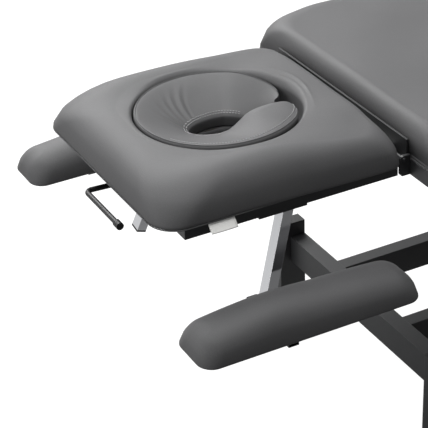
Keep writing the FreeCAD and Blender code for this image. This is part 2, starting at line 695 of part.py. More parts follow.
# Face cushion: a horseshoe with a sloping inner face, open towards the body pad
cushion_bottom = "pad_bottom + board_thickness + cushion_seat_gap"
ring = bar("cushion_radius", "cushion_height", ("recess_x", "0", cushion_bottom), "z")
slope = doc.addObject("Part::Cone", "Slope")
slope.setExpression("Radius1", formula("breathing_half_width"))
slope.setExpression("Radius2", formula("cushion_slope_radius"))
slope.setExpression("Height", formula("cushion_height * 0.8"))
place(slope, ("recess_x", "0", f"{cushion_bottom} + cushion_height * 0.2"))
well = bar("breathing_half_width", "cushion_height", ("recess_x", "0", cushion_bottom), "z")
mouth = block(("cushion_radius", "cushion_slot", "cushion_height"), ("recess_x", "-cushion_slot / 2", cushion_bottom))
node("face_cushion", cut(ring, slope, well, mouth))


# Head frame

def head_rail(low_y):
    """A side rail of the head frame, with a plate welded over its open head end."""
    length = tube(("head_rail_end - (head_rail_x)", "tube_side", "tube_side"),
                  ("head_rail_x", low_y, "frame_height"), "x")
    closing = block(("tube_wall", "tube_side", "tube_side"), ("head_rail_x", low_y, "frame_height"))
    return join(length, closing)


def head_crosspiece(x):
    return tube(("tube_side", "2 * head_rail_in", "tube_side"), (x, "-head_rail_in", "frame_height"), "y")


left, right = both_sides(lambda low: head_rail(low("head_rail_in", "head_rail_out")))
node("head_rail_left", left)
node("head_rail_right", right)
node("head_cross_rails", group(*[head_crosspiece(f"head_end + {setback}")
                                for setback in ("end_rail_setback", "middle_rail_setback")]))


# Head hinge: an ear inside each head rail between two plates of the top frame

def hinge_ear(low_y):
    arm_bar = block(("ear_length", "hinge_plate", "ear_depth"),
                    ("hinge_x - ear_length", low_y, "pad_bottom - ear_depth"))
    web = block(("hinge_boss_radius", "hinge_plate", "hinge_rise + ear_depth / 2"),
                ("hinge_x - hinge_boss_radius", low_y, "pad_bottom - ear_depth / 2"))
    boss = bar("hinge_boss_radius", "hinge_plate", ("hinge_x", low_y, "hinge_height"))
    hole = bar("hinge_pin_radius + running_clearance", "hinge_plate * 3",
               ("hinge_x", f"{low_y} - hinge_plate", "hinge_height"))
    return cut(join(arm_bar, web, boss), hole)


def hinge_stay(low_y):
    """A short bar that carries the ear from the rail's inner face."""
    return block(("ear_stay_length", "ear_stay", "ear_depth"),
                 ("hinge_x - ear_length + ear_stay", low_y, "pad_bottom - ear_depth"))


def hinge_plate(low_y, bottom):
    plate = block(("front_rail_x - hinge_x", "hinge_plate", f"hinge_height - ({bottom}) + hinge_boss_radius"),
                  ("hinge_x", low_y, bottom))
    nose = bar("hinge_boss_radius", "hinge_plate", ("hinge_x", low_y, "hinge_height"))
    chin = bar("hinge_boss_radius", "hinge_plate", ("hinge_x", low_y, f"{bottom} + hinge_boss_radius"))
    web = block(("hinge_boss_radius", "hinge_plate", f"hinge_height - ({bottom}) - hinge_boss_radius"),
                ("hinge_x - hinge_boss_radius", low_y, f"{bottom} + hinge_boss_radius"))
    hole = bar("hinge_pin_radius", "hinge_plate * 3", ("hinge_x", f"{low_y} - hinge_plate", "hinge_height"))
    return cut(join(plate, nose, chin, web), hole)


def hinge_pin(low):
    return bar("hinge_pin_radius", "head_rail_out - (inner_plate_out) + 2 * hinge_plate + 1 + 6",
               ("hinge_x", low("inner_plate_out - hinge_plate - 3", "head_rail_out + 1 + hinge_plate + 3"),
                "hinge_height"))


ears = both_sides(lambda low: join(hinge_ear(low("ear_in", "ear_out")), hinge_stay(low("ear_out", "head_rail_in"))))
node("hinge_ears", group(*ears))
inner_plates = both_sides(lambda low: hinge_plate(low("inner_plate_out - hinge_plate", "inner_plate_out"),
                                                  "frame_height + hinge_step"))
outer_plates = both_sides(lambda low: hinge_plate(low("head_rail_out + 1", "head_rail_out + 1 + hinge_plate"),
                                                  "frame_height"))
node("hinge_plates", group(*inner_plates, *outer_plates, *both_sides(hinge_pin)))


# Gas spring of the head section, between a lug under the middle rail and a bracket on the top frame

def spring_lugs(x, z, x_low, length, z_low, height):
    plates = []
    half = "spring_eye_width / 2 + lug_gap"
    for low in (f"spring_side + {half}", f"spring_side - ({half}) - lug_thickness"):
        plate = block((length, "lug_thickness", height), (x_low, low, z_low))
        hole = bar("spring_pin_radius", "lug_thickness * 3", (x, f"{low} - lug_thickness", z))
        plates.append(cut(plate, hole))
    pin = clevis_pin("spring_pin_radius", f"{half} + lug_thickness + 2", x, z, "spring_side")
    return [*plates, pin]


lug_reach = "spring_eye_radius + 3"
head_lugs = spring_lugs("spring_head_x", "spring_head_z", f"spring_head_x - ({lug_reach})",
                        f"head_end + middle_rail_setback + tube_side - spring_head_x + {lug_reach}",
                        f"spring_head_z - ({lug_reach})", f"frame_height - spring_head_z + {lug_reach}")
node("spring_head_lugs", group(*head_lugs))
frame_lugs = spring_lugs("spring_fixed_x", "spring_fixed_z", "spring_fixed_x - tube_side / 2", "tube_side",
                         f"spring_fixed_z - ({lug_reach})", f"frame_height - spring_fixed_z + {lug_reach}")
node("spring_frame_lugs", group(*frame_lugs))

spring_disc, spring_hole = eye("spring_eye_radius", "spring_eye_width", "spring_pin_radius + running_clearance")
cylinder = bar("spring_cylinder_radius", "spring_cylinder_length - spring_neck_length",
               ("spring_neck_length", "0", "0"), "x")
cylinder_neck = bar("spring_rod_radius", "spring_neck_length", ("spring_eye_radius / 2", "0", "0"), "x")
cylinder_bore = bar("spring_rod_radius + running_clearance", "spring_cylinder_length",
                    ("6 * spring_eye_radius", "0", "0"), "x")
# Turned so that its own X points from the frame lug up to the head lug
node("spring_cylinder", place(cut(join(spring_disc, cylinder_neck, cylinder), spring_hole, cylinder_bore),
                              ("spring_fixed_x", "spring_side", "spring_fixed_z"), "180 + spring_angle"))
tip_disc, tip_hole = eye("spring_eye_radius", "spring_eye_width", "spring_pin_radius + running_clearance")
spring_stem = bar("spring_rod_radius", "spring_rod_length", ("-spring_rod_length", "0", "0"), "x")
node("spring_rod", place(cut(join(tip_disc, spring_stem), tip_hole),
                         ("spring_head_x", "spring_side", "spring_head_z"), "180 + spring_angle"))


# Release lever: a bent rod under the head end, with its bracket and its end cap
lever_x = "head_end + lever_pivot_setback"
lever_z = "frame_height - lever_drop"
grip_x = "head_end - grip_reach + lever_tip_radius"


def bent_rod():
    """The lever's rod: from its pivot to the bend and along the grip, drawn as a swept wire."""
    radius, bend = value("lever_rod_radius"), value("lever_bend_radius")
    x0, z0, y0 = value(lever_x), value(lever_z), value("lever_side")
    x1, z1 = value(grip_x), value(lever_z) + value("lever_rise")
    start = FreeCAD.Vector(x0, y0, z0)
    corner = FreeCAD.Vector(x1, y0, z1)
    end = FreeCAD.Vector(x1, y0 - value("lever_grip_length"), z1)
    into = (corner - start).normalize()
    out = (end - corner).normalize()
    arc_start = corner - into * bend
    arc_end = corner + out * bend
    centre = corner + (out - into) * bend
    middle = centre + (corner - centre).normalize() * (arc_start - centre).Length
    path = Part.Wire([Part.LineSegment(start, arc_start).toShape(),
                      Part.Arc(arc_start, middle, arc_end).toShape(),
                      Part.LineSegment(arc_end, end).toShape()])
    section = Part.Wire([Part.Circle(start, into, radius).toShape()])
    return path.makePipeShell([section], True, True)


rod = doc.addObject("Part::Feature", "LeverRod")
rod.Shape = bent_rod()
boss = bar("lever_rod_radius + 2", "lever_boss_width", (lever_x, "lever_side - lever_boss_width / 2", lever_z))
pin_hole = bar("spring_pin_radius / 2 + running_clearance", "3 * lever_boss_width",
               (lever_x, "lever_side - 1.5 * lever_boss_width", lever_z))
node("release_lever", cut(join(rod, boss), pin_hole))
tip = bar("lever_tip_radius", "lever_tip_length",
          (grip_x, "lever_side - lever_grip_length - 4", "frame_height - lever_drop + lever_rise"))
tip_bore = bar("lever_rod_radius", "lever_tip_length",
               (grip_x, "lever_side - lever_grip_length", "frame_height - lever_drop + lever_rise"))
node("lever_tip", cut(tip, tip_bore))


def lever_cheek(low_y):
    half = "lever_cheek_length / 2"
    cheek = block(("lever_cheek_length", "lever_cheek", f"lever_drop + {half}"),
                  (f"{lever_x} - {half}", low_y, f"{lever_z} - {half}"))
    hole = bar("spring_pin_radius / 2", "3 * lever_cheek", (lever_x, f"{low_y} - lever_cheek", lever_z))
    return cut(cheek, hole)


cheek_gap = "lever_boss_width / 2 + 0.5"
cheeks = [lever_cheek(low) for low in (f"lever_side + {cheek_gap}", f"lever_side - ({cheek_gap}) - lever_cheek")]
lever_pin = clevis_pin("spring_pin_radius / 2", f"{cheek_gap} + 1.5 * lever_cheek", lever_x, lever_z,
                       "lever_side")
node("lever_bracket", group(*cheeks, lever_pin))


# Armrest posts, bolted under the head rails and leaning towards the head end

def rail_screw(x, low_y):
    return bar("screw_radius", "screw_head", (x, f"{low_y} + tube_side / 2",
                                              "frame_height - armrest_plate_thickness - screw_head"), "z")


def mounting_plate(low):
    plate_x = "head_end + armrest_plate_setback"
    plate = block(("armrest_plate_length", "head_rail_out - post_y + post_face", "armrest_plate_thickness"),
                  (plate_x, low("post_y - post_face", "head_rail_out"), "frame_height - armrest_plate_thickness"))
    stops = ("3 * screw_radius", "armrest_plate_length - 3 * screw_radius")
    rail_y = low("head_rail_in", "head_rail_out")
    return [plate, *[rail_screw(f"{plate_x} + {stop}", rail_y) for stop in stops]]


def leaning(thing, sign):
    """Turns a piece from the upright into the post's frame, leaning to the head end and outwards."""
    thing.Placement.Rotation = FreeCAD.Rotation(FreeCAD.Vector(0, 1, 0), 1)
    thing.setExpression("Placement.Rotation.Axis.x", formula(f"{sign} * sin(post_heading)"))
    thing.setExpression("Placement.Rotation.Axis.y", formula("cos(post_heading)"))
    thing.setExpression("Placement.Rotation.Angle", formula("post_lean"))
    return place(thing, ("post_x", f"{sign} * post_y", "post_top"))


def post_section(margin, length, bottom):
    """A box round the post's axis, wider than the post by a margin all round."""
    return block((f"post_depth + 2 * ({margin})", f"post_face + 2 * ({margin})", length),
                 (f"-post_depth / 2 - ({margin})", f"-post_face / 2 - ({margin})", bottom))


def chrome_post(sign):
    """A rectangular tube from the plate down, its top cut level with the plate."""
    outer = post_section("0", "post_drop + post_face", "-post_drop")
    bore = post_section("-post_wall", "post_drop + post_face", "-post_drop")
    above = block(("4 * post_face", "4 * post_face", "2 * post_face"),
                  ("post_x - 2 * post_face", f"{sign} * post_y - 2 * post_face", "post_top"))
    return cut(leaning(cut(outer, bore), sign), above)


def post_end_cap(sign):
    cap = post_section("0", "post_cap", "-post_drop - post_cap")
    plug = post_section("-post_wall - plug_gap", "3 * post_cap", "-post_drop")
    return leaning(join(cap, plug), sign)


plates = both_sides(mounting_plate)
node("armrest_mounting_plates", group(*[piece for side in plates for piece in side]))
node("armrest_post_left", chrome_post(1))
node("armrest_post_right", chrome_post(-1))
node("post_end_caps", group(post_end_cap(1), post_end_cap(-1)))


# Armrests: a sleeve on each post, a cheek plate, a support arm, a board, a pad and a clamp knob

def sleeve(sign):
    """The sliding sleeve with the cheek plate on its outer face, in the post's own frame."""
    low_z = "-sleeve_drop - sleeve_length"
    outer = post_section("sleeve_gap + sleeve_wall", "sleeve_length", low_z)
    inner = post_section("sleeve_gap", "sleeve_length", low_z)
    face = "post_face / 2 + sleeve_gap"
    cheek_y = face if sign > 0 else f"-({face}) - cheek_thickness"
    cheek = block(("post_depth + cheek_reach", "cheek_thickness", "cheek_height"),
                  ("-post_depth / 2 - cheek_reach", cheek_y, "-sleeve_drop - cheek_drop - cheek_height"))
    return leaning(join(cut(outer, inner), cheek), sign)


support_x = "post_x - support_setback"


def support_arm(low):
    arm_y = low("cheek_y + 2", "support_reach")
    plate_y = low("armrest_inner + support_inset", "armrest_inner + support_inset + support_plate_width")
    arm = tube(("support_tube", "support_reach - cheek_y - 2", "support_tube"), (support_x, arm_y, "support_z"), "y")
    plate = block(("support_plate_length", "support_plate_width", "armrest_plate"),
                  (f"{support_x} + support_tube / 2 - support_plate_length / 2", plate_y,
                   "armrest_bottom - armrest_plate"))
    return [arm, plate]


def armrest_knob(sign):
    """A clamp knob on the sleeve's inner face, turning about the post's own cross direction."""
    face = "post_face / 2 + sleeve_gap + sleeve_wall"
    middle_z = "-sleeve_drop - sleeve_length + knob_radius + sleeve_wall"
    head_low = f"{face} + knob_stand_off"
    screw_low = f"{face} + 0.2"
    head_y = f"-({head_low}) - knob_length" if sign > 0 else head_low
    screw_y = f"-({head_low}) - 2" if sign > 0 else screw_low
    head = bar("knob_radius", "knob_length", ("0", head_y, middle_z))
    screw = bar("knob_screw_radius", "knob_stand_off + 1.8", ("0", screw_y, middle_z))
    return leaning(join(head, screw), sign)


def round_armrest(body, kind):
    radius = "armrest_corner_radius" if kind == "full" else "armrest_corner_radius - armrest_board_inset"
    round_edges(body, radius, upright, body.Name + "_corners")


for side, sign in (("left", 1), ("right", -1)):
    arm, plate = both_sides(support_arm)[0 if sign > 0 else 1]
    node(f"armrest_bracket_{side}", join(sleeve(sign), arm, plate))
    node(f"armrest_knob_{side}", armrest_knob(sign))
    y_low = "armrest_inner" if side == "left" else "-(armrest_inner + armrest_width)"
    y_high = "armrest_inner + armrest_width" if side == "left" else "-armrest_inner"
    outline = rectangle("armrest_x", "armrest_x + armrest_length", y_low, y_high)
    inset = rectangle("armrest_x", "armrest_x + armrest_length", y_low, y_high, "armrest_board_inset")
    board_and_pad(f"armrest_{side}", outline, "armrest_thickness", "armrest_board", inset, round_armrest,
                  "armrest_bottom", "armrest_edge_radius", None)


# Fabric tag, folded over and held in the seam at the near edge of the head pad
node("fabric_tag", block(("tag_width", "tag_thickness", "tag_drop"),
                         ("head_end + tag_setback", "-head_pad_width / 2 + 2", "pad_bottom - tag_drop - tag_gap")))


doc.recompute()

# Every object is sound before anything is written
for thing in doc.Objects:
    if "Invalid" in thing.State or "Error" in thing.State:
        raise RuntimeError(f"{thing.Name} ({thing.Label}) failed: {thing.State}")
for thing in nodes:
    if thing.Shape.isNull() or not thing.Shape.isValid() or not thing.Shape.Solids:
        raise RuntimeError(f"{thing.Label} has no valid solid")

os.makedirs("parts", exist_ok=True)
for thing in nodes:
    thing.Shape.exportStep(os.path.join("parts", thing.Label + ".step"))
    print(thing.Label, len(thing.Shape.Solids), round(thing.Shape.Volume / 1000), "cm3")
print(len(nodes), "nodes")
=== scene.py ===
import json
import math

import bmesh
import bpy
import numpy as np
from mathutils import Matrix, Vector, noise


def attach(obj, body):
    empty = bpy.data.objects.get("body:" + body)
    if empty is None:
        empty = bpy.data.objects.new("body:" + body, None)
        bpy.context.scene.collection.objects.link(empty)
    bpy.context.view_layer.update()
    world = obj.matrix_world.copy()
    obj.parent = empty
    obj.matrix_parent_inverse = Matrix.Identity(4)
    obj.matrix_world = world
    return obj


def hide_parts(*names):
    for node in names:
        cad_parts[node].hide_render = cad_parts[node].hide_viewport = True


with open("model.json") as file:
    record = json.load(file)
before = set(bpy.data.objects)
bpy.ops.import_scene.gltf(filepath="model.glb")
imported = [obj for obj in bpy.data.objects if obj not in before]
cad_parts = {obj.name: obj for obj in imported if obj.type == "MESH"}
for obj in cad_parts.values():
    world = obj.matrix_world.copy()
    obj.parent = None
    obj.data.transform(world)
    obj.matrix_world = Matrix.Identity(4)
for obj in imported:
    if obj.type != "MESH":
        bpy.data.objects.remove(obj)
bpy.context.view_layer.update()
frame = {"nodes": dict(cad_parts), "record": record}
record = frame["record"]
print("frame loaded")

# The head end lies at low x and the near side at low y. Pieces are shaped in millimetres and turned to
# metres when their mesh is made; the camera, lamps, stitches and patterns are given in metres.


# Small helpers

# An sRGB hex colour as a linear one with alpha
def linear(hexColour):
    parts = [int(hexColour[i:i + 2], 16) / 255 for i in (1, 3, 5)]
    return tuple(c / 12.92 if c <= 0.04045 else ((c + 0.055) / 1.055) ** 2.4 for c in parts) + (1.0,)


# One node with its settings; links names an input and the socket or value that goes in
def addNode(tree, kind, links=None, **settings):
    node = tree.nodes.new(kind)
    for name, value in settings.items():
        setattr(node, name, value)
    for name, source in (links or {}).items():
        socket = node.inputs[name]
        if isinstance(source, bpy.types.NodeSocket):
            tree.links.new(source, socket)
        else:
            socket.default_value = source
    return node


def addObject(name, data):
    thing = bpy.data.objects.new(name, data)
    bpy.context.scene.collection.objects.link(thing)
    return thing


def metres(points):
    return [(x / 1000, y / 1000, z / 1000) for x, y, z in points]


# A mesh object from points in millimetres, its doubles merged and its faces turned outwards
def newMesh(name, points, faces, material, smooth=True):
    mesh = bpy.data.meshes.new(name)
    mesh.from_pydata(metres(points), [], faces)
    mesh.validate()
    thing = addObject(name, mesh)
    work = bmesh.new()
    work.from_mesh(mesh)
    bmesh.ops.remove_doubles(work, verts=work.verts, dist=1e-6)
    bmesh.ops.recalc_face_normals(work, faces=work.faces)
    work.to_mesh(mesh)
    work.free()
    mesh.polygons.foreach_set("use_smooth", [smooth] * len(mesh.polygons))
    mesh.materials.append(material)
    return thing


# Turns an object's modifiers into its plain mesh
def applied(thing):
    bpy.context.view_layer.update()
    shape = thing.evaluated_get(bpy.context.evaluated_depsgraph_get())
    mesh = bpy.data.meshes.new_from_object(shape)
    thing.modifiers.clear()
    old = thing.data
    thing.data = mesh
    mesh.name = thing.name
    bpy.data.meshes.remove(old)
    return thing


# From 0 at low to 1 at high, with an easy start and end; low may be the larger of the two
def smoothStep(low, high, x):
    t = min(1.0, max(0.0, (x - low) / (high - low)))
    return t * t * (3 - 2 * t)


# A bump of height 1 at middle that falls off over width
def bell(x, middle, width):
    return np.exp(-((x - middle) / width) ** 2)


# Camera, from the photograph's own perspective; its lens and sensor are in millimetres

view = {"place": (-1.9688, -2.3782, 2.0538), "lens": 140.2, "sensor": 36.0, "farthest": 60,
        "right": (0.8823, -0.4694, -0.0346), "up": (0.2645, 0.4337, 0.8613),
        "back": (-0.3893, -0.7691, 0.5069)}
cameraData = bpy.data.cameras.new("camera")
cameraData.lens = view["lens"]
cameraData.sensor_width = view["sensor"]
cameraData.clip_end = view["farthest"]
camera = addObject("camera", cameraData)
turn = Matrix((view["right"], view["up"], view["back"])).transposed()
camera.matrix_world = Matrix.Translation(view["place"]) @ turn.to_quaternion().to_matrix().to_4x4()
bpy.context.scene.camera = camera
bpy.context.scene.view_settings.view_transform = "Standard"

# Light: large soft lamps behind, above and beyond the head end, in watts and metres. The sky and the floor
# are white to the camera; in reflections they are bright on the far side and dark on the near side

studio = {"sky": 0.27, "skyGloss": 0.62, "skyTurn": (-0.35, 0.25), "skyNear": 0.06,
          "floorBounce": 0.16, "floorReflectedGlow": 0.5, "floorTurn": (-0.3, 0.6), "floorNear": 0.02,
          "floorWhite": 0.94, "floorRoughness": 0.95, "floorHalf": 9000, "floorDrop": -1}
lamps = {"backLamp": {"power": 195, "size": 2.8, "place": (-0.7, 3.3, 3.1), "target": (-0.5, 0, 0.6)},
         "topLamp": {"power": 100, "size": 2.4, "place": (-0.7, 0.1, 4.0), "target": (-0.5, 0, 0.6)},
         "headLamp": {"power": 62, "size": 3.0, "place": (-4.4, 0.2, 1.5), "target": (-0.8, 0, 0.5)}}

for name, look in lamps.items():
    light = bpy.data.lights.new(name, "AREA")
    light.energy = look["power"]
    light.size = look["size"]
    thing = addObject(name, light)
    thing.location = look["place"]
    aim = Vector(look["target"]) - Vector(look["place"])
    thing.rotation_euler = aim.to_track_quat("-Z", "Y").to_euler()

world = bpy.data.worlds.new("studio")
bpy.context.scene.world = world
world.use_nodes = True
tree = world.node_tree
tree.nodes.clear()
path = addNode(tree, "ShaderNodeLightPath")
where = addNode(tree, "ShaderNodeTexCoord")
side = addNode(tree, "ShaderNodeSeparateXYZ", {"Vector": where.outputs["Generated"]})
far = addNode(tree, "ShaderNodeMapRange",
              {"Value": side.outputs["Y"], "From Min": studio["skyTurn"][0],
               "From Max": studio["skyTurn"][1], "To Min": studio["skyNear"], "To Max": 1.0})
level = addNode(tree, "ShaderNodeMapRange",
                {"Value": path.outputs["Is Glossy Ray"], "To Min": studio["sky"],
                 "To Max": studio["skyGloss"]})
dim = addNode(tree, "ShaderNodeMath", {0: path.outputs["Is Diffuse Ray"], 1: far.outputs[0]},
              operation="MAXIMUM")
shade = addNode(tree, "ShaderNodeMath", {0: dim.outputs[0], 1: level.outputs[0]}, operation="MULTIPLY")
seen = addNode(tree, "ShaderNodeMath", {0: shade.outputs[0], 1: path.outputs["Is Camera Ray"]},
               operation="MAXIMUM")
sky = addNode(tree, "ShaderNodeBackground", {"Color": (1, 1, 1, 1), "Strength": seen.outputs[0]})
addNode(tree, "ShaderNodeOutputWorld", {"Surface": sky.outputs[0]})
print("camera and light made")


# Materials, named for the real stuff and its finish. A pattern's number is how often it repeats in a metre

def newMaterial(name):
    material = bpy.data.materials.new(name)
    material.use_nodes = True
    material.node_tree.nodes.clear()
    return material, material.node_tree


# Matt painted board under the table, with no shine of its own. It is white to the camera, and in reflections
# it shows a painted glow, bright on the far side and dark on the near side
def floorMaterial(look):
    material, tree = newMaterial("paintedWhiteBoard")
    path = addNode(tree, "ShaderNodeLightPath")
    where = addNode(tree, "ShaderNodeTexCoord")
    side = addNode(tree, "ShaderNodeSeparateXYZ", {"Vector": where.outputs["Object"]})
    # painted reflection: the floor glows to glossy rays, brighter towards its far side
    far = addNode(tree, "ShaderNodeMapRange",
                  {"Value": side.outputs["Y"], "From Min": look["floorTurn"][0],
                   "From Max": look["floorTurn"][1], "To Min": look["floorNear"],
                   "To Max": look["floorReflectedGlow"]})
    gloss = addNode(tree, "ShaderNodeMath", {0: path.outputs["Is Glossy Ray"], 1: far.outputs[0]},
                    operation="MULTIPLY")
    white = addNode(tree, "ShaderNodeMath", {0: path.outputs["Is Camera Ray"], 1: look["floorWhite"]},
                    operation="MULTIPLY")
    glow = addNode(tree, "ShaderNodeMath", {0: gloss.outputs[0], 1: white.outputs[0]}, operation="ADD")
    board = addNode(tree, "ShaderNodeBsdfPrincipled",
                    {"Base Color": (look["floorBounce"],) * 3 + (1,), "Roughness": look["floorRoughness"],
                     "Specular IOR Level": 0.0, "Emission Color": (1, 1, 1, 1),
                     "Emission Strength": glow.outputs[0]})
    addNode(tree, "ShaderNodeOutputMaterial", {"Surface": board.outputs[0]})
    return material


# Upholstery vinyl, embossed: a satin skin with leather cells of 1.6 mm and pores of 1.1 mm, drawn a little
# coarse so that they show, with painted shade a tone darker in its hollows and a touch lighter on its ridges,
# and clouds of tone and gloss 170 mm wide
vinylLook = {"colour": "#545455", "darker": 0.93, "lighter": 1.05, "toneStops": (0.32, 0.68), "grain": 620.0,
             "pores": 900.0, "cloud": 6.0, "grainHollowShade": 0.10, "roughness": (0.54, 0.64), "specular": 0.3,
             "bump": 0.18, "relief": 0.0004}


def vinylMaterial(name, look):
    material, tree = newMaterial(name)
    where = addNode(tree, "ShaderNodeTexCoord")
    grain = addNode(tree, "ShaderNodeTexVoronoi",
                    {"Vector": where.outputs["Object"], "Scale": look["grain"]}, feature="F1")
    pores = addNode(tree, "ShaderNodeTexNoise",
                    {"Vector": where.outputs["Object"], "Scale": look["pores"], "Detail": 3.0})
    cloud = addNode(tree, "ShaderNodeTexNoise",
                    {"Vector": where.outputs["Object"], "Scale": look["cloud"], "Detail": 4.0})
    tone = addNode(tree, "ShaderNodeValToRGB", {"Fac": cloud.outputs["Fac"]})
    for k, share in enumerate((look["darker"], look["lighter"])):
        stop = tone.color_ramp.elements[k]
        stop.position = look["toneStops"][k]
        stop.color = [min(1, c * share) for c in linear(look["colour"])[:3]] + [1]
    # painted shade: the colour is a tone darker in the grain's hollows and a touch lighter on its ridges
    grainHollowShade = addNode(tree, "ShaderNodeMixRGB",
                    {"Fac": look["grainHollowShade"], 1: tone.outputs["Color"], 2: grain.outputs["Distance"]},
                    blend_type="SOFT_LIGHT")
    rough = addNode(tree, "ShaderNodeMapRange",
                    {"Value": cloud.outputs["Fac"], "To Min": look["roughness"][0],
                     "To Max": look["roughness"][1]})
    height = addNode(tree, "ShaderNodeMath", {0: grain.outputs["Distance"], 1: pores.outputs["Fac"]},
                     operation="ADD")
    bump = addNode(tree, "ShaderNodeBump",
                   {"Strength": look["bump"], "Distance": look["relief"], "Height": height.outputs[0]})
    skin = addNode(tree, "ShaderNodeBsdfPrincipled",
                   {"Base Color": grainHollowShade.outputs[0], "Roughness": rough.outputs[0], "Normal": bump.outputs[0],
                    "Specular IOR Level": look["specular"]})
    addNode(tree, "ShaderNodeOutputMaterial", {"Surface": skin.outputs[0]})
    return material


# Powder coat baked on steel: satin, pebbled at 1.4 mm, duller and brighter in patches of 70 mm, and worn
# thin and lighter along its edges, where the light catches a rounding of 1.4 mm
coatLook = {"colour": "#111112", "worn": "#3a3b3d", "wornEdge": (0.52, 0.62), "wornShare": 0.5,
            "pebble": 700.0, "dust": 14.0, "roughness": (0.41, 0.54), "edgeRound": 0.0014,
            "bump": 0.07, "relief": 0.0002}


def coatMaterial(name, look):
    material, tree = newMaterial(name)
    where = addNode(tree, "ShaderNodeTexCoord")
    pebble = addNode(tree, "ShaderNodeTexNoise",
                     {"Vector": where.outputs["Object"], "Scale": look["pebble"], "Detail": 2.0})
    dust = addNode(tree, "ShaderNodeTexNoise",
                   {"Vector": where.outputs["Object"], "Scale": look["dust"], "Detail": 5.0})
    edge = addNode(tree, "ShaderNodeNewGeometry")
    worn = addNode(tree, "ShaderNodeMapRange",
                   {"Value": edge.outputs["Pointiness"], "From Min": look["wornEdge"][0],
                    "From Max": look["wornEdge"][1], "To Max": look["wornShare"]})
    base = addNode(tree, "ShaderNodeMixRGB",
                   {"Fac": worn.outputs[0], 1: linear(look["colour"]), 2: linear(look["worn"])})
    rough = addNode(tree, "ShaderNodeMapRange",
                    {"Value": dust.outputs["Fac"], "To Min": look["roughness"][0],
                     "To Max": look["roughness"][1]})
    soft = addNode(tree, "ShaderNodeBevel", {"Radius": look["edgeRound"]}, samples=4)
    bump = addNode(tree, "ShaderNodeBump",
                   {"Strength": look["bump"], "Distance": look["relief"], "Height": pebble.outputs["Fac"],
                    "Normal": soft.outputs[0]})
    coat = addNode(tree, "ShaderNodeBsdfPrincipled",
                   {"Base Color": base.outputs[0], "Roughness": rough.outputs[0], "Normal": bump.outputs[0]})
    addNode(tree, "ShaderNodeOutputMaterial", {"Surface": coat.outputs[0]})
    return material


# Bare metal with fine working lines, 11 mm long and 0.8 mm apart, which vary its shine by streak
metalLook = {"lines": 90.0, "squeeze": (1.0, 1.0, 14.0), "edgeRound": 0.0012, "bump": 0.03, "relief": 0.0002}


def metalMaterial(name, colour, roughness, streak, look):
    material, tree = newMaterial(name)
    where = addNode(tree, "ShaderNodeTexCoord")
    lay = addNode(tree, "ShaderNodeMapping", {"Vector": where.outputs["Object"], "Scale": look["squeeze"]})
    lines = addNode(tree, "ShaderNodeTexNoise",
                    {"Vector": lay.outputs[0], "Scale": look["lines"], "Detail": 3.0})
    rough = addNode(tree, "ShaderNodeMapRange",
                    {"Value": lines.outputs["Fac"], "To Min": roughness, "To Max": roughness + streak})
    soft = addNode(tree, "ShaderNodeBevel", {"Radius": look["edgeRound"]}, samples=4)
    bump = addNode(tree, "ShaderNodeBump",
                   {"Strength": look["bump"], "Distance": look["relief"], "Height": lines.outputs["Fac"],
                    "Normal": soft.outputs[0]})
    metal = addNode(tree, "ShaderNodeBsdfPrincipled",
                    {"Base Color": linear(colour), "Roughness": rough.outputs[0], "Normal": bump.outputs[0],
                     "Metallic": 1.0})
    addNode(tree, "ShaderNodeOutputMaterial", {"Surface": metal.outputs[0]})
    return material


# Moulded plastic, rubber or spun thread: a fine texture that varies tone and gloss and softens the light
mouldedLook = {"tone": 0.12, "duller": 0.08, "shinier": 0.06, "bump": 0.10, "relief": 0.0003}


def mouldedMaterial(name, colour, roughness, spark, look):
    material, tree = newMaterial(name)
    where = addNode(tree, "ShaderNodeTexCoord")
    texture = addNode(tree, "ShaderNodeTexNoise",
                      {"Vector": where.outputs["Object"], "Scale": spark, "Detail": 3.0})
    rough = addNode(tree, "ShaderNodeMapRange",
                    {"Value": texture.outputs["Fac"], "To Min": roughness - look["shinier"],
                     "To Max": roughness + look["duller"]})
    tone = addNode(tree, "ShaderNodeMixRGB",
                   {"Fac": look["tone"], 1: linear(colour), 2: texture.outputs["Color"]},
                   blend_type="SOFT_LIGHT")
    bump = addNode(tree, "ShaderNodeBump",
                   {"Strength": look["bump"], "Distance": look["relief"], "Height": texture.outputs["Fac"]})
    body = addNode(tree, "ShaderNodeBsdfPrincipled",
                   {"Base Color": tone.outputs[0], "Roughness": rough.outputs[0], "Normal": bump.outputs[0]})
    addNode(tree, "ShaderNodeOutputMaterial", {"Surface": body.outputs[0]})
    return material


# Birch plywood, stained dark: grain 150 mm long and 11 mm apart on its faces, plies of 1 mm on its edges
plywoodLook = {"dark": "#2b2520", "light": "#463a2f", "stretch": (3.0, 40.0, 480.0), "grain": 2.2,
               "wander": 0.4, "roughness": (0.6, 0.75), "bump": 0.1, "relief": 0.0004}


def plywoodMaterial(name, look):
    material, tree = newMaterial(name)
    where = addNode(tree, "ShaderNodeTexCoord")
    along = addNode(tree, "ShaderNodeMapping", {"Vector": where.outputs["Object"], "Scale": look["stretch"]})
    grain = addNode(tree, "ShaderNodeTexNoise",
                    {"Vector": along.outputs[0], "Scale": look["grain"], "Detail": 7.0,
                     "Distortion": look["wander"]})
    tone = addNode(tree, "ShaderNodeValToRGB", {"Fac": grain.outputs["Fac"]})
    tone.color_ramp.elements[0].color = linear(look["dark"])
    tone.color_ramp.elements[1].color = linear(look["light"])
    bump = addNode(tree, "ShaderNodeBump",
                   {"Strength": look["bump"], "Distance": look["relief"], "Height": grain.outputs["Fac"]})
    rough = addNode(tree, "ShaderNodeMapRange",
                    {"Value": grain.outputs["Fac"], "To Min": look["roughness"][0],
                     "To Max": look["roughness"][1]})
    wood = addNode(tree, "ShaderNodeBsdfPrincipled",
                   {"Base Color": tone.outputs["Color"], "Roughness": rough.outputs[0],
                    "Normal": bump.outputs[0]})
    addNode(tree, "ShaderNodeOutputMaterial", {"Surface": wood.outputs[0]})
    return material


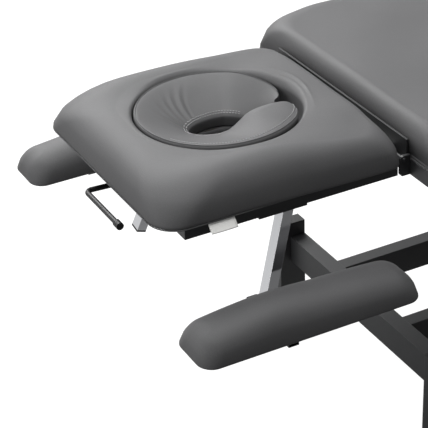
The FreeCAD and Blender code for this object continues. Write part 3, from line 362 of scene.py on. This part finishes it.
# Woven polyester ribbon: soft white, with threads crossing every 1.2 mm, coarser than real so that they show
wovenLook = {"dark": "#e4e4e1", "light": "#fbfbf8", "threads": 260.0, "roughness": 0.85, "sheen": 0.2,
             "bump": 0.4, "relief": 0.0003}


def wovenMaterial(name, look):
    material, tree = newMaterial(name)
    where = addNode(tree, "ShaderNodeTexCoord")
    warp, weft = (addNode(tree, "ShaderNodeTexWave",
                          {"Vector": where.outputs["Object"], "Scale": look["threads"]}, bands_direction=way)
                  for way in ("X", "Z"))
    weave = addNode(tree, "ShaderNodeMath", {0: warp.outputs["Fac"], 1: weft.outputs["Fac"]},
                    operation="MULTIPLY")
    tone = addNode(tree, "ShaderNodeValToRGB", {"Fac": weave.outputs[0]})
    tone.color_ramp.elements[0].color = linear(look["dark"])
    tone.color_ramp.elements[1].color = linear(look["light"])
    bump = addNode(tree, "ShaderNodeBump",
                   {"Strength": look["bump"], "Distance": look["relief"], "Height": weave.outputs[0]})
    cloth = addNode(tree, "ShaderNodeBsdfPrincipled",
                    {"Base Color": tone.outputs["Color"], "Normal": bump.outputs[0],
                     "Roughness": look["roughness"], "Sheen Weight": look["sheen"]})
    addNode(tree, "ShaderNodeOutputMaterial", {"Surface": cloth.outputs[0]})
    return material


vinyl = vinylMaterial("graphiteVinyl", vinylLook)
thread = mouldedMaterial("greyPolyesterThread", "#a2a2a3", 0.7, 900.0, mouldedLook)       # dull and fuzzy
powderCoat = coatMaterial("blackPowderCoat", coatLook)
chrome = metalMaterial("polishedChrome", "#dcdde0", 0.05, 0.06, metalLook)                # nearly a mirror
turnedSteel = metalMaterial("turnedSteel", "#b4b5b8", 0.28, 0.18, metalLook)              # bright, lines show
anodised = metalMaterial("anodisedAluminium", "#8b8d91", 0.34, 0.14, metalLook)           # grey and silky
blackPlastic = mouldedMaterial("blackPolyamide", "#161617", 0.5, 500.0, mouldedLook)      # satin
blackRubber = mouldedMaterial("blackRubber", "#1a1a1a", 0.75, 300.0, mouldedLook)         # dull
birchPly = plywoodMaterial("birchPlywood", plywoodLook)
ribbon = wovenMaterial("wovenPolyesterRibbon", wovenLook)
slotFinish = {"graphite_vinyl": vinyl, "plywood": birchPly, "black_powder_coat": powderCoat,
              "polished_chrome": chrome, "bright_steel": turnedSteel, "black_plastic": blackPlastic,
              "grey_aluminium": anodised, "black_rubber": blackRubber, "white_fabric": ribbon}
for part in record["subparts"]:
    node = frame["nodes"][part["node"]]
    node.data.materials.clear()
    node.data.materials.append(slotFinish[part["material_slot"]])
print("materials made")


# Floor

half = studio["floorHalf"]
floorSquare = ((-half, -half), (half, -half), (half, half), (-half, half))
floorCorners = [(x, y, studio["floorDrop"]) for x, y in floorSquare]
floor = newMesh("floor", floorCorners, [(0, 1, 2, 3)], floorMaterial(studio), smooth=False)


# Upholstered pads: rings of points from under the board, round the edge and over the top

def unit(run):
    return run / np.linalg.norm(run)


# Points round a convex outline that is moved in by an inset for each side and has rounded corners. Their
# number is the same for every inset, so that the rings of a pad can be joined
def outlineRing(corners, radii, inset, arcSteps=10, step=12.0):
    corners = [np.array(c, float) for c in corners]
    count = len(corners)
    insets = [inset] * count if np.isscalar(inset) else inset
    along = [unit(corners[(i + 1) % count] - corners[i]) for i in range(count)]
    inward = [np.array([-d[1], d[0]]) for d in along]
    moved = []
    for i in range(count):       # where the moved sides cross
        a, b = along[i - 1], along[i]
        start = corners[i] + inward[i - 1] * insets[i - 1]
        gap = corners[i] + inward[i] * insets[i] - start
        cross = a[0] * b[1] - a[1] * b[0]
        moved.append(start + a * (gap[0] * b[1] - gap[1] * b[0]) / cross)
    arcs = []
    for i in range(count):       # the round of each corner
        a, b = along[i - 1], along[i]
        angle = math.acos(max(-1.0, min(1.0, float(a @ b))))
        reach = radii[i] * math.tan(angle / 2)
        centre = moved[i] - a * reach + inward[i - 1] * radii[i]
        out = -inward[i - 1] * radii[i]
        arc = []
        for k in range(arcSteps + 1):
            t = angle * k / arcSteps
            arc.append(centre + np.array([out[0] * math.cos(t) - out[1] * math.sin(t),
                                          out[0] * math.sin(t) + out[1] * math.cos(t)]))
        arcs.append(arc)
    points = []
    for i in range(count):
        points += arcs[i]
        nextCorner = arcs[(i + 1) % count][0]
        pieces = max(2, int(np.linalg.norm(corners[(i + 1) % count] - corners[i]) / step))
        points += [arcs[i][-1] + (nextCorner - arcs[i][-1]) * k / pieces for k in range(1, pieces)]
    return np.array(points)


underEdge = ((26, 0.0), (8, 0.0), (3.0, 0.5), (0.8, 2.6))       # how far in under the pad, and how far up
rollEvenness = 1.35       # draws the rows of a roll together near its top


# Share of the reach and height: under the pad, up a short wall that may have a seam, and a long roll up
def rollProfile(thickness, wall, reach, power, steps, seam=0.0):
    pairs = [(inward / reach, up) for inward, up in underEdge]
    pairs.append((0.0, wall * 0.6))
    if seam:
        pairs += [(0.0, wall * 0.85), (seam / reach, wall * 0.93), (seam / reach, wall * 0.97)]
    for k in range(steps + 1):
        u = (1 - k / steps) ** rollEvenness
        pairs.append((1 - u, wall + (thickness - wall) * (1 - u ** power) ** (1 / power)))
    return pairs


# Faces between rings of equal length. The last ring joins the first in a "loop"; else a hub closes the
# "first" ring or "both" ends, or the ends stay "open"
def stitchRings(rings, ends):
    count = len(rings[0])
    points = [p for ring in rings for p in ring]
    faces = []
    rows = len(rings) if ends == "loop" else len(rings) - 1
    for r in range(rows):
        a, b = r * count, ((r + 1) % len(rings)) * count
        for k in range(count):
            n = (k + 1) % count
            faces.append((a + k, a + n, b + n, b + k))
    hubs = {"first": [0], "both": [0, len(rings) - 1]}.get(ends, [])
    for r in hubs:
        points.append(tuple(np.mean(np.array(rings[r]), axis=0)))
        hub = len(points) - 1
        faces += [(r * count + k, r * count + (k + 1) % count, hub) for k in range(count)]
    return points, faces


# The unevenness of foam under a taut cover: how wide its waves are, how high, and the noise's own level
def ripple(x, y, waves):
    width, height, level = waves
    return height * noise.noise(Vector((x, y, level)) / width)


# Head pad, with its round recess: long rolls at the head end and the sides, and a sharp hinge end. Spans are
# the two places, in x or y, where an effect starts and where it is full

headPadLook = {"length": (-988, -516), "halfWidth": 246, "bottom": 632, "thickness": 70, "wall": 9,
               "cornerHead": (52, 110), "cornerHinge": (24, 44),       # radii at the foot and at the top
               "cornerLess": 40, "cornerLeast": 8,
               "reach": (80, 30, 80, 74), "rollReach": 64,       # of the roll: near, hinge, far, head side
               "rollRows": 20, "power": 2.15,
               "tightHinge": (40, 8), "tightSpan": (-860, -560),       # near and far side, at the hinge end
               "bulge": 9.0, "bulgeFrom": 2,       # of the near side, and the height that it starts at
               "crown": 0.6, "crownTurn": 0.72, "crownAtRecess": 0.77,
               "bow": 9.0, "bowMiddle": -790, "bowHalf": 200, "bowSpan": (120, 200), "bowLeast": -2.0,
               "droop": (10.0, 6.0), "droopSpan": (-780, -540),       # of the near and the far hinge corner
               "droopSide": (90, 246),
               "hingeLift": 3.0, "hingeLiftSpan": (-660, -560),
               "recess": (-750, 154), "recessRoll": 6,       # its middle and radius, and its rounded edge
               "softRoll": 17, "softAt": (0.25, 0.55),       # the edge is softer beside the cushion's arms
               "tuck": 2.4, "tuckAt": (0.12, 0.5), "tuckRows": {8: 0.35, 9: 0.6, 10: -1.0},
               "lining": (22, 34), "floor": 644.15, "hole": (54, 29), "floorRows": (0.02, 0.35, 0.7, 0.97),
               "holeLip": 14, "softFrom": 20, "waves": (90, 1.1, 0), "under": 0.3}


def headPadCorners(look):
    x0, x1 = look["length"]
    w = look["halfWidth"]
    return [(x0, -w), (x1, -w), (x1, w), (x0, w)]


# The edge all round, whose corners open out and whose sides move in as it rises
def headPadEdge(look):
    thickness, half = look["thickness"], look["halfWidth"]
    corners = headPadCorners(look)
    head, hinge = look["cornerHead"], look["cornerHinge"]
    rings = []
    for share, height in rollProfile(thickness, look["wall"], look["rollReach"], look["power"],
                                     look["rollRows"]):
        rise = smoothStep(0, thickness, height)
        insets = [share * reach for reach in look["reach"]]
        less = share * look["cornerLess"] * (1 - rise)
        radii = [max(look["cornerLeast"], foot + (top - foot) * rise - less)
                 for foot, top in (head, hinge, hinge, head)]
        ring = []
        for x, y in outlineRing(corners, radii, insets):
            near = y < 0
            fuller = look["bulge"] if near and height > look["bulgeFrom"] else 0
            tight = share * look["tightHinge"][0 if near else 1] + fuller
            edge = min(1, abs(y) / (half - insets[0])) ** 2
            moved = math.copysign(tight * edge * smoothStep(*look["tightSpan"], x), y)
            ring.append((x, y + moved, look["bottom"] + height))
        rings.append(ring)
    return rings


# A ring of points at the given angles about the middle of the recess
def recessRing(look, angles, along, across, height):
    return [(look["recess"][0] + math.cos(p) * along, math.sin(p) * across, height) for p in angles]


# From the top's edge to the recess, down its lining, over its floor and out through the breathing hole
def headPadRecess(look, outer):
    low, top = look["bottom"], look["bottom"] + look["thickness"]
    cx, radius = look["recess"]
    roll, crown, under = look["recessRoll"], look["crown"], low - look["under"]
    inner = np.array([p[:2] for p in outer])
    angles = np.arctan2(inner[:, 1], inner[:, 0] - cx)
    rolls = roll + look["softRoll"] * bell(angles, *look["softAt"])
    circle = np.stack([cx + np.cos(angles) * (radius + rolls), np.sin(angles) * (radius + rolls)], axis=1)
    tuck = bell(angles, *look["tuckAt"]) * look["tuck"]
    rings = []
    topRows, edgeRows = 10, 7
    for k in range(1, topRows + 1):       # the last of these rings is tucked in beside the cushion's arms
        t = k / topRows
        height = top + crown * math.sin(math.pi * look["crownTurn"] * t)
        fold = look["tuckRows"].get(k, 0.0)
        flat = inner * (1 - t) + circle * t
        rings.append([(x, y, height + fold * deep) for (x, y), deep in zip(flat, tuck)])
    for k in range(1, edgeRows + 1):
        a = math.pi / 2 * k / edgeRows
        left = crown * look["crownAtRecess"] * (1 - k / edgeRows)
        ring = []
        for p, own in zip(angles, rolls):
            r = radius + own * (1 - math.sin(a))
            z = top - (roll + 0.5 * (own - roll)) * (1 - math.cos(a)) + left
            ring.append((cx + math.cos(p) * r, math.sin(p) * r, z))
        rings.append(ring)
    a, b = look["hole"]
    lip = look["holeLip"]
    rows = [(radius, radius, top - down) for down in look["lining"]] + [(radius, radius, look["floor"] + 2)]
    rows += [(radius * (1 - t) + a * t, radius * (1 - t) + b * t, look["floor"]) for t in look["floorRows"]]
    rows += [(a, b, low + 10), (a, b, under), (a + lip, b + lip, under), (a + lip, b + lip, low + 4)]
    return rings + [recessRing(look, angles, *row) for row in rows]


# The bow of the top along its length, its droop to the hinge corners and its waves
def headPadTop(look, point):
    x, y, z = point
    low, top = look["bottom"], look["bottom"] + look["thickness"]
    cx, radius = look["recess"]
    lift = smoothStep(low + look["softFrom"], top, z)
    lift *= smoothStep(radius - 2, radius + 12, math.hypot(x - cx, y))       # none inside the recess
    bow = look["bow"] * (1 - ((x - look["bowMiddle"]) / look["bowHalf"]) ** 2)
    bow = max(bow * smoothStep(*look["bowSpan"], abs(y)) * lift, look["bowLeast"])
    droop = look["droop"][0 if y < 0 else 1] * smoothStep(*look["droopSpan"], x)
    droop *= smoothStep(*look["droopSide"], abs(y)) * lift
    raised = look["hingeLift"] * smoothStep(*look["hingeLiftSpan"], x) * lift
    sunk = look["under"] if z < low + 0.1 else 0
    return x, y, z + bow - droop + raised + ripple(x, y, look["waves"]) * lift - sunk


def buildHeadPad(look):
    rings = headPadEdge(look)
    rings += headPadRecess(look, rings[-1])
    rings.insert(0, [(x, y, look["bottom"] + 4) for x, y, z in rings[0]])
    points, faces = stitchRings(rings, "loop")
    return newMesh("headPad", [headPadTop(look, p) for p in points], faces, vinyl)


headPad = buildHeadPad(headPadLook)
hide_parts("head_pad")
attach(headPad, "head")
print("head pad made")


# Body pad, with its tapered shoulders

bodyPadLook = {"start": -489, "end": 1012, "halfFront": 318, "halfWidth": 350, "shoulder": 126,
               "bottom": 632, "thickness": 70, "wall": 10, "seam": 1.3, "power": 2.45,
               "reach": 66, "frontReach": 32, "rollRows": 18, "cornerSteps": 10, "step": 18.0,
               "corner": (14, 46), "topCorner": (74, 92),       # at the front and the foot end, low and high
               "cornerLeast": 8, "shoulderRadius": 200, "crown": 3, "crownQuick": 1.4, "topRows": 16,
               "shorter": 0.24, "narrower": 0.9, "endBow": 24,       # how the rings of the top draw together
               "softFrom": 20, "waves": (130, 2.0, 40), "under": 0.3}


def bodyPadCorners(look):
    x0, x1, front, half = look["start"], look["end"], look["halfFront"], look["halfWidth"]
    shoulder = x0 + look["shoulder"]
    return [(x0, -front), (shoulder, -half), (x1, -half), (x1, half), (shoulder, half), (x0, front)]


def buildBodyPad(look):
    low, thickness, reach = look["bottom"], look["thickness"], look["reach"]
    top, half, wide = low + thickness, look["halfWidth"], look["shoulderRadius"]
    corners = bodyPadCorners(look)
    rings = []
    for share, height in rollProfile(thickness, look["wall"], reach, look["power"], look["rollRows"],
                                     look["seam"]):
        inset = share * reach
        rise = smoothStep(0, thickness, height)
        front, foot = (max(look["cornerLeast"], a + (b - a) * rise - inset * (1 - rise))
                       for a, b in zip(look["corner"], look["topCorner"]))
        insets = [inset] * 5 + [inset * look["frontReach"] / reach]
        edge = outlineRing(corners, [front, wide, foot, foot, wide, front], insets, look["cornerSteps"],
                           look["step"])
        rings.append([(x, y, low + height) for x, y in edge])
    middle = (look["start"] + look["end"]) / 2
    for k in range(1, look["topRows"] + 1):       # the flat of the top, narrowed to a strip along the middle
        t = k / look["topRows"]
        lift = look["crown"] * math.sin(math.pi / 2 * min(1.0, look["crownQuick"] * t))
        ring = []
        for x, y in edge:
            away = x - middle
            bow = math.copysign(look["endBow"] * t * (1 - (y / half) ** 2), away)
            along = middle + away * (1 - look["shorter"] * t) + bow
            ring.append((along, y * (1 - look["narrower"] * t), top + lift))
        rings.append(ring)
    points, faces = stitchRings(rings, "first")
    last = np.array(rings[-1])
    start, size = (len(rings) - 1) * len(last), len(last)
    facing = int(np.argmin(np.abs(last[:, 0] - last[0, 0]) + np.abs(last[:, 1] + last[0, 1])))
    for k in range(size):       # rungs across the strip, from its near side to the points that face it
        quad = [start + i % size for i in (k, k + 1, facing - k - 1, facing - k)]
        if max(last[k][1], last[(k + 1) % size][1]) < 0.01 and len(set(quad)) > 2:
            faces.append(tuple(dict.fromkeys(quad)))
    shaped = []
    for x, y, z in points:
        wave = ripple(x, y, look["waves"]) * smoothStep(low + look["softFrom"], top, z)
        shaped.append((x, y, z + wave - (look["under"] if z < low + 0.1 else 0)))
    return newMesh("bodyPad", shaped, faces, vinyl)


bodyPad = buildBodyPad(bodyPadLook)
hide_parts("body_pad")
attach(bodyPad, "top")
print("body pad made")


# Armrest pads: a D-shaped bolster, arched along its length, with a swell over its bracket

armPadLook = {"length": (-1002, -574), "inner": 297, "width": 115, "bottom": 463.5, "thickness": 58,
              "wall": 7, "power": 2.2, "rollRows": 22, "cornerSteps": 10, "step": 9.0,
              "corner": 30, "roundTop": 44, "roundBy": 0.7,       # radii at the foot and high up
              "endReach": 48, "endSoft": 12, "archDrop": 12, "archPower": 2.2,
              "swell": 6.5, "swellAt": (-850, 85), "waves": (60, 0.7, 0), "waveShift": 30}


def buildArmPad(name, side, look):
    x0, x1 = look["length"]
    low, thickness, wall = look["bottom"], look["thickness"], look["wall"]
    centre, reach, half = (x0 + x1) / 2, (x1 - x0) / 2, look["width"] / 2
    corners = [(x0, -half), (x1, -half), (x1, half), (x0, half)]
    stretch = look["endReach"] / half - 1       # the ends roll over a shorter run than the sides
    rings = []
    for share, height in rollProfile(thickness, wall, half, look["power"], look["rollRows"]):
        inset = share * half
        rise = smoothStep(0, thickness * look["roundBy"], height)
        radius = max(0.0, look["corner"] + (look["roundTop"] - look["corner"]) * rise - inset)
        own = reach - inset
        ring = []
        for x, y in outlineRing(corners, [radius] * 4, inset, look["cornerSteps"], look["step"]):
            end = min(1.0, abs(x - centre) / own)
            pull = inset * stretch / own * end ** 2 * smoothStep(wall, wall + look["endSoft"], height)
            ring.append((centre + (x - centre) * (1 - pull), 0.0 if share == 1 else y, low + height))
        rings.append(ring)
    points, faces = stitchRings(rings, "first")
    shaped = []
    for x, y, z in points:
        lift = (z - low) / thickness
        z -= look["archDrop"] * (abs(x - centre) / reach) ** look["archPower"] * lift
        z += look["swell"] * bell(x, *look["swellAt"]) * lift
        z += ripple(x, y + side * look["waveShift"], look["waves"]) * lift
        shaped.append((x, y + side * (look["inner"] + half), z))
    return newMesh(name, shaped, faces, vinyl)


for name, side in (("left", 1), ("right", -1)):
    pad = buildArmPad("armPad" + name.capitalize(), side, armPadLook)
    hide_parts(f"armrest_{name}_pad")
    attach(pad, "armrest_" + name)
print("armrest pads made")


# Face cushion: a horseshoe ring whose top slopes down to the breathing hole. Its near arm is puffed up and
# rounded at the end, and its far arm's end dips under it. Angles are in degrees from the foot side

cushionLook = {"centre": (-750, 0), "outer": 151.5, "bottom": 644.6, "rim": 702.5, "holeEdge": 669,
               "holeLength": 57, "holeWidth": 32, "joint": 62, "farEnd": 5, "nearEnd": 329,
               "farTip": (-661, -4), "nearTip": (-643, -34), "farBend": 0.35, "nearBend": 0.75,
               "bendAlong": 0.92, "meanRadius": 105,
               "tipRound": 40, "tipPower": 2.4, "tipLeast": 0.02, "tipDrop": (5, 9),      # the arms' ends
               "puffSpan": (140, 40), "softSpan": (230, 50), "rimRise": 3.5, "crestRise": 7,      # near arm
               "dipSpan": (90, 0), "rimDip": 16, "holeDip": 9,      # far arm, in millimetres from its end
               "insideDrop": 12, "conePower": 1.25, "crestShare": 0.42, "insidePower": 2.4,
               "outsidePower": 2.2, "seamShare": 0.962, "seamRise": 1.2, "rows": 170, "topRows": 22,
               "waves": (34, 0.5, 9)}

# Gathered folds that fan out from the head side of the hole: angle at the hole, angle at the rim and width
pleatLook = {"folds": ((168, 126, 3.0), (158, 112, 3.4), (146, 101, 3.8), (128, 90, 3.2), (176, 140, 2.2)),
             "depth": 2.2, "start": 48, "run": 82, "spread": 0.8, "ridgeAt": (6.5, 4.2), "ridge": 0.7}

# Sewn lines: which point of each section they follow, and between which shares of the way round
cushionLines = {"holeInner": (-6, 0.10, 0.80), "holeOuter": (-7, 0.10, 0.80), "armSeam": (11, 0.62, 1.01),
                "rim": (9, 0.02, 0.985)}


def pleats(point):
    dx, dy = point[0] - cushionLook["centre"][0], point[1] - cushionLook["centre"][1]
    radius = math.hypot(dx, dy)
    angle = math.degrees(math.atan2(dy, dx))
    t = (radius - pleatLook["start"]) / pleatLook["run"]
    depth = 0.0
    for inner, outer, width in pleatLook["folds"] if -0.05 < t < 1.1 else ():
        line = inner + (outer - inner) * (max(0, t) ** pleatLook["spread"])
        off = math.radians(angle - line) * radius
        fade = smoothStep(-0.05, 0.12, t) * smoothStep(1.1, 0.45, t)
        fold = bell(off, 0, width) - pleatLook["ridge"] * bell(off, *pleatLook["ridgeAt"])
        depth += pleatLook["depth"] * fade * fold
    return depth


# Inner and outer edge in plan; turn runs from the far arm's end round the head side to the near arm's end
def cushionEdges(look, turn):
    cx, cy = look["centre"]
    a, b = look["holeLength"], look["holeWidth"]
    outer = np.array([cx + look["outer"] * math.cos(turn), cy + look["outer"] * math.sin(turn)])
    joint, farEnd, nearEnd = (math.radians(look[name]) for name in ("joint", "farEnd", "nearEnd"))
    if joint <= turn <= 2 * math.pi - joint:
        return np.array([cx + a * math.cos(turn), cy + b * math.sin(turn)]), outer
    if turn < joint:
        t = 1 - (turn - farEnd) / (joint - farEnd)
        tip, hinge, bend = look["farTip"], joint, look["farBend"]
    else:
        t = 1 - (nearEnd - turn) / (nearEnd - 2 * math.pi + joint)
        tip, hinge, bend = look["nearTip"], -joint, look["nearBend"]
    start = np.array([cx + a * math.cos(hinge), cy + b * math.sin(hinge)])
    pull = np.array([cx + a * look["bendAlong"], cy + b * math.sin(hinge) * bend])
    return start * (1 - t) ** 2 + pull * 2 * t * (1 - t) + np.array(tip) * t * t, outer


# One section of the ring: up the outside, over the rim's seam and the top, and down the side of the hole
def cushionSection(look, turn):
    inner, outer = cushionEdges(look, turn)
    fromFar = (turn - math.radians(look["farEnd"])) * look["meanRadius"]
    fromNear = (math.radians(look["nearEnd"]) - turn) * look["meanRadius"]
    tip, power, nearArm = min(fromFar, fromNear) / look["tipRound"], look["tipPower"], fromNear < fromFar
    shrink = 1.0 if tip > 1 else max((1 - (1 - tip) ** power) ** (1 / power), look["tipLeast"])
    middle = (inner + outer) / 2
    inner = middle + (inner - middle) * shrink
    wall = middle + (outer - middle) * shrink - inner
    near, nearSoft = smoothStep(*look["puffSpan"], fromNear), smoothStep(*look["softSpan"], fromNear)
    far = smoothStep(*look["dipSpan"], fromFar)
    drop = (1 - shrink) * look["tipDrop"][1 if nearArm else 0]
    blunt = smoothStep(0, 0.9, shrink) if nearArm else 1.0
    low, rim = look["bottom"], look["rim"] + look["rimRise"] * nearSoft - look["rimDip"] * far
    edge = look["holeEdge"] - look["holeDip"] * far
    inside = rim - drop + (edge - look["insideDrop"] - rim + drop) * blunt
    crest = rim + look["crestRise"] * nearSoft * blunt
    seam, seamRise, crestShare, rise = look["seamShare"], look["seamRise"], look["crestShare"], rim - low
    profile = [(0.985, low), (1.0, low + 4), (1.004, low + rise * 0.35), (1.002, low + rise * 0.62),
               (1.0, rim - 12 - drop), (0.996, rim - 9 - drop), (1.001, rim - 6.5 - drop),
               (0.997, rim - 3 - drop), (0.985, rim - 0.4 - drop * 0.9), (seam, rim + seamRise - drop * 0.8)]
    for k in range(1, look["topRows"]):
        b = seam - seam * k / look["topRows"]
        cone = edge + (rim + 1.5 - edge) * (1 - (1 - b / seam) ** look["conePower"])
        if b < crestShare:
            fullness = max(0, 1 - abs(1 - b / crestShare) ** look["insidePower"])
            dome = inside + (crest - inside) * math.sqrt(fullness)
        else:
            outward = (b - crestShare) / (seam - crestShare)
            dome = crest - (crest - rim - seamRise) * outward ** look["outsidePower"]
        p = inner + wall * b
        z = cone * (1 - near) + dome * near - pleats(p) * (1 - near)
        z += ripple(p[0], p[1], look["waves"]) - drop * (0.2 + 0.6 * abs(b - 0.45))
        profile.append((b, z))
    holeTop = (edge - 1.5) * (1 - near) + (inside - 1.5) * near
    profile += [(0.004, holeTop), (-0.008, holeTop - 2.5), (0.002, holeTop - 8), (0.012, low + 4),
                (0.03, low)]
    return [(*(inner + wall * share), height) for share, height in profile]


def buildCushion(look):
    start, end = math.radians(look["farEnd"]), math.radians(look["nearEnd"])
    rows = look["rows"]
    rings = []
    lines = {name: [] for name in cushionLines}
    for r in range(rows + 1):
        t = r / rows
        t = 0.55 * t + 0.45 * (0.5 - 0.5 * math.cos(math.pi * t))       # closer together at both ends
        ring = cushionSection(look, start + (end - start) * t)
        rings.append(ring)
        for name, (row, first, last) in cushionLines.items():
            if first < t < last:
                lines[name].append(ring[row])
    points, faces = stitchRings(rings, "open")
    size = len(rings[0])
    faces += [tuple(range(base, base + size)) for base in (0, rows * size)]
    return newMesh("faceCushion", points, faces, vinyl), lines


cushion, sewnLines = buildCushion(cushionLook)
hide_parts("face_cushion")
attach(cushion, "cushion")
print("face cushion made")


# Sewing: threads laid along a line, in metres, and a thin welt where two panels meet, in millimetres

stitchLook = {"Spacing": 0.0052, "Length": 0.0036, "Thickness": 0.0006}
weltLook = {"radius": 1.1, "sides": 8, "above": 1.6, "inset": 0.4}
stitchLift = 0.4


# Geometry Nodes group: a thread of 6 sides laid along a line at every spacing
def stitchGroup():
    group = bpy.data.node_groups.new("stitches", "GeometryNodeTree")
    for name, kind, way in (("Geometry", "Geometry", "INPUT"), ("Spacing", "Float", "INPUT"),
                            ("Length", "Float", "INPUT"), ("Thickness", "Float", "INPUT"),
                            ("Thread", "Material", "INPUT"), ("Geometry", "Geometry", "OUTPUT")):
        group.interface.new_socket(name, in_out=way, socket_type="NodeSocket" + kind)
    given = group.nodes.new("NodeGroupInput").outputs
    line = addNode(group, "GeometryNodeMeshToCurve", {"Mesh": given["Geometry"]})
    even = addNode(group, "GeometryNodeResampleCurve",
                   {"Curve": line.outputs[0], "Length": given["Spacing"]}, mode="LENGTH")
    along = addNode(group, "GeometryNodeInputTangent")
    turned = addNode(group, "FunctionNodeAlignRotationToVector", {"Vector": along.outputs[0]}, axis="Z")
    rod = addNode(group, "GeometryNodeMeshCylinder",
                  {"Vertices": 6, "Radius": given["Thickness"], "Depth": given["Length"]})
    placed = addNode(group, "GeometryNodeInstanceOnPoints",
                     {"Points": even.outputs[0], "Instance": rod.outputs[0], "Rotation": turned.outputs[0]})
    real = addNode(group, "GeometryNodeRealizeInstances", {"Geometry": placed.outputs[0]})
    dressed = addNode(group, "GeometryNodeSetMaterial",
                      {"Geometry": real.outputs[0], "Material": given["Thread"]})
    addNode(group, "NodeGroupOutput", {"Geometry": dressed.outputs[0]})
    return group


stitches = stitchGroup()
stitchInputs = [item for item in stitches.interface.items_tree if item.in_out == "INPUT"]
stitchSockets = {item.name: item.identifier for item in stitchInputs}


def sewn(name, points, body):
    mesh = bpy.data.meshes.new(name)
    mesh.from_pydata(metres([(x, y, z + stitchLift) for x, y, z in points]),
                     [(k, k + 1) for k in range(len(points) - 1)], [])
    thing = addObject(name, mesh)
    modifier = thing.modifiers.new("stitches", "NODES")
    modifier.node_group = stitches
    for socket, value in stitchLook.items():
        modifier[stitchSockets[socket]] = value
    modifier[stitchSockets["Thread"]] = thread
    applied(thing)
    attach(thing, body)


def welt(name, points, body):
    line = [Vector(p) for p in points]
    angles = [math.tau * i / weltLook["sides"] for i in range(weltLook["sides"])]
    rings = []
    for k, p in enumerate(line):
        along = (line[min(k + 1, len(line) - 1)] - line[max(k - 1, 0)]).normalized()
        side = along.cross(Vector((0, 0, 1))).normalized()
        up = side.cross(along)
        rings.append([tuple(p + (side * math.cos(a) + up * math.sin(a)) * weltLook["radius"])
                      for a in angles])
    points, faces = stitchRings(rings, "both")
    thing = newMesh(name, points, faces, vinyl)
    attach(thing, body)


# The sewn edge that runs round the foot of a bed pad
def footWelt(name, look, corners, radii, body):
    ring = outlineRing(corners, radii, weltLook["inset"])
    line = [(x, y, look["bottom"] + weltLook["above"]) for x, y in ring]
    welt(name, line + line[:1], body)


headRadii = [52, 20, 20, 52]
bodyRadii = [14, 200, 46, 46, 200, 14]
footWelt("headPadWelt", headPadLook, headPadCorners(headPadLook), headRadii, "head")
footWelt("bodyPadWelt", bodyPadLook, bodyPadCorners(bodyPadLook), bodyRadii, "top")
sewn("holeStitchesOuter", sewnLines["holeOuter"], "cushion")
sewn("holeStitchesInner", sewnLines["holeInner"], "cushion")
sewn("armSeamStitches", sewnLines["armSeam"], "cushion")
welt("cushionWelt", sewnLines["rim"], "cushion")
print("sewing made")


# Fabric tag: a bare loop of woven ribbon, caught under the near edge of the head pad

tagLook = {"length": (-900, -850), "side": -243.6, "top": 631.6, "drop": 14.0, "bow": 13.0, "bowPower": 1.3,
           "gap": 0.5, "sway": 0.8, "rows": 26, "across": 8, "thickness": 0.0004}


def buildTag(look):
    x0, x1 = look["length"]
    rows, across = look["rows"], look["across"]
    points, faces = [], []
    for r in range(rows + 1):       # down the near leaf and up the far one
        t = r / rows
        down = look["drop"] * (1 - abs(1 - 2 * t))
        fall = down / look["drop"]
        gap = look["gap"] + look["gap"] * math.sin(math.pi * min(1, fall))
        y = look["side"] + (gap if t > 0.5 else -gap) - look["bow"] * fall ** look["bowPower"]
        for c in range(across + 1):
            s = c / across
            sway = look["sway"] * math.sin(math.pi * s) * fall
            points.append((x0 + (x1 - x0) * s, y - sway, look["top"] - down))
    for r in range(rows):
        for c in range(across):
            a = r * (across + 1) + c
            faces.append((a, a + 1, a + across + 2, a + across + 1))
    tag = newMesh("fabricTag", points, faces, ribbon)
    solid = tag.modifiers.new("thickness", "SOLIDIFY")
    solid.thickness = look["thickness"]
    solid.offset = 0
    return applied(tag)


tag = buildTag(tagLook)
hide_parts("fabric_tag")
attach(tag, "head")
print("tag made")
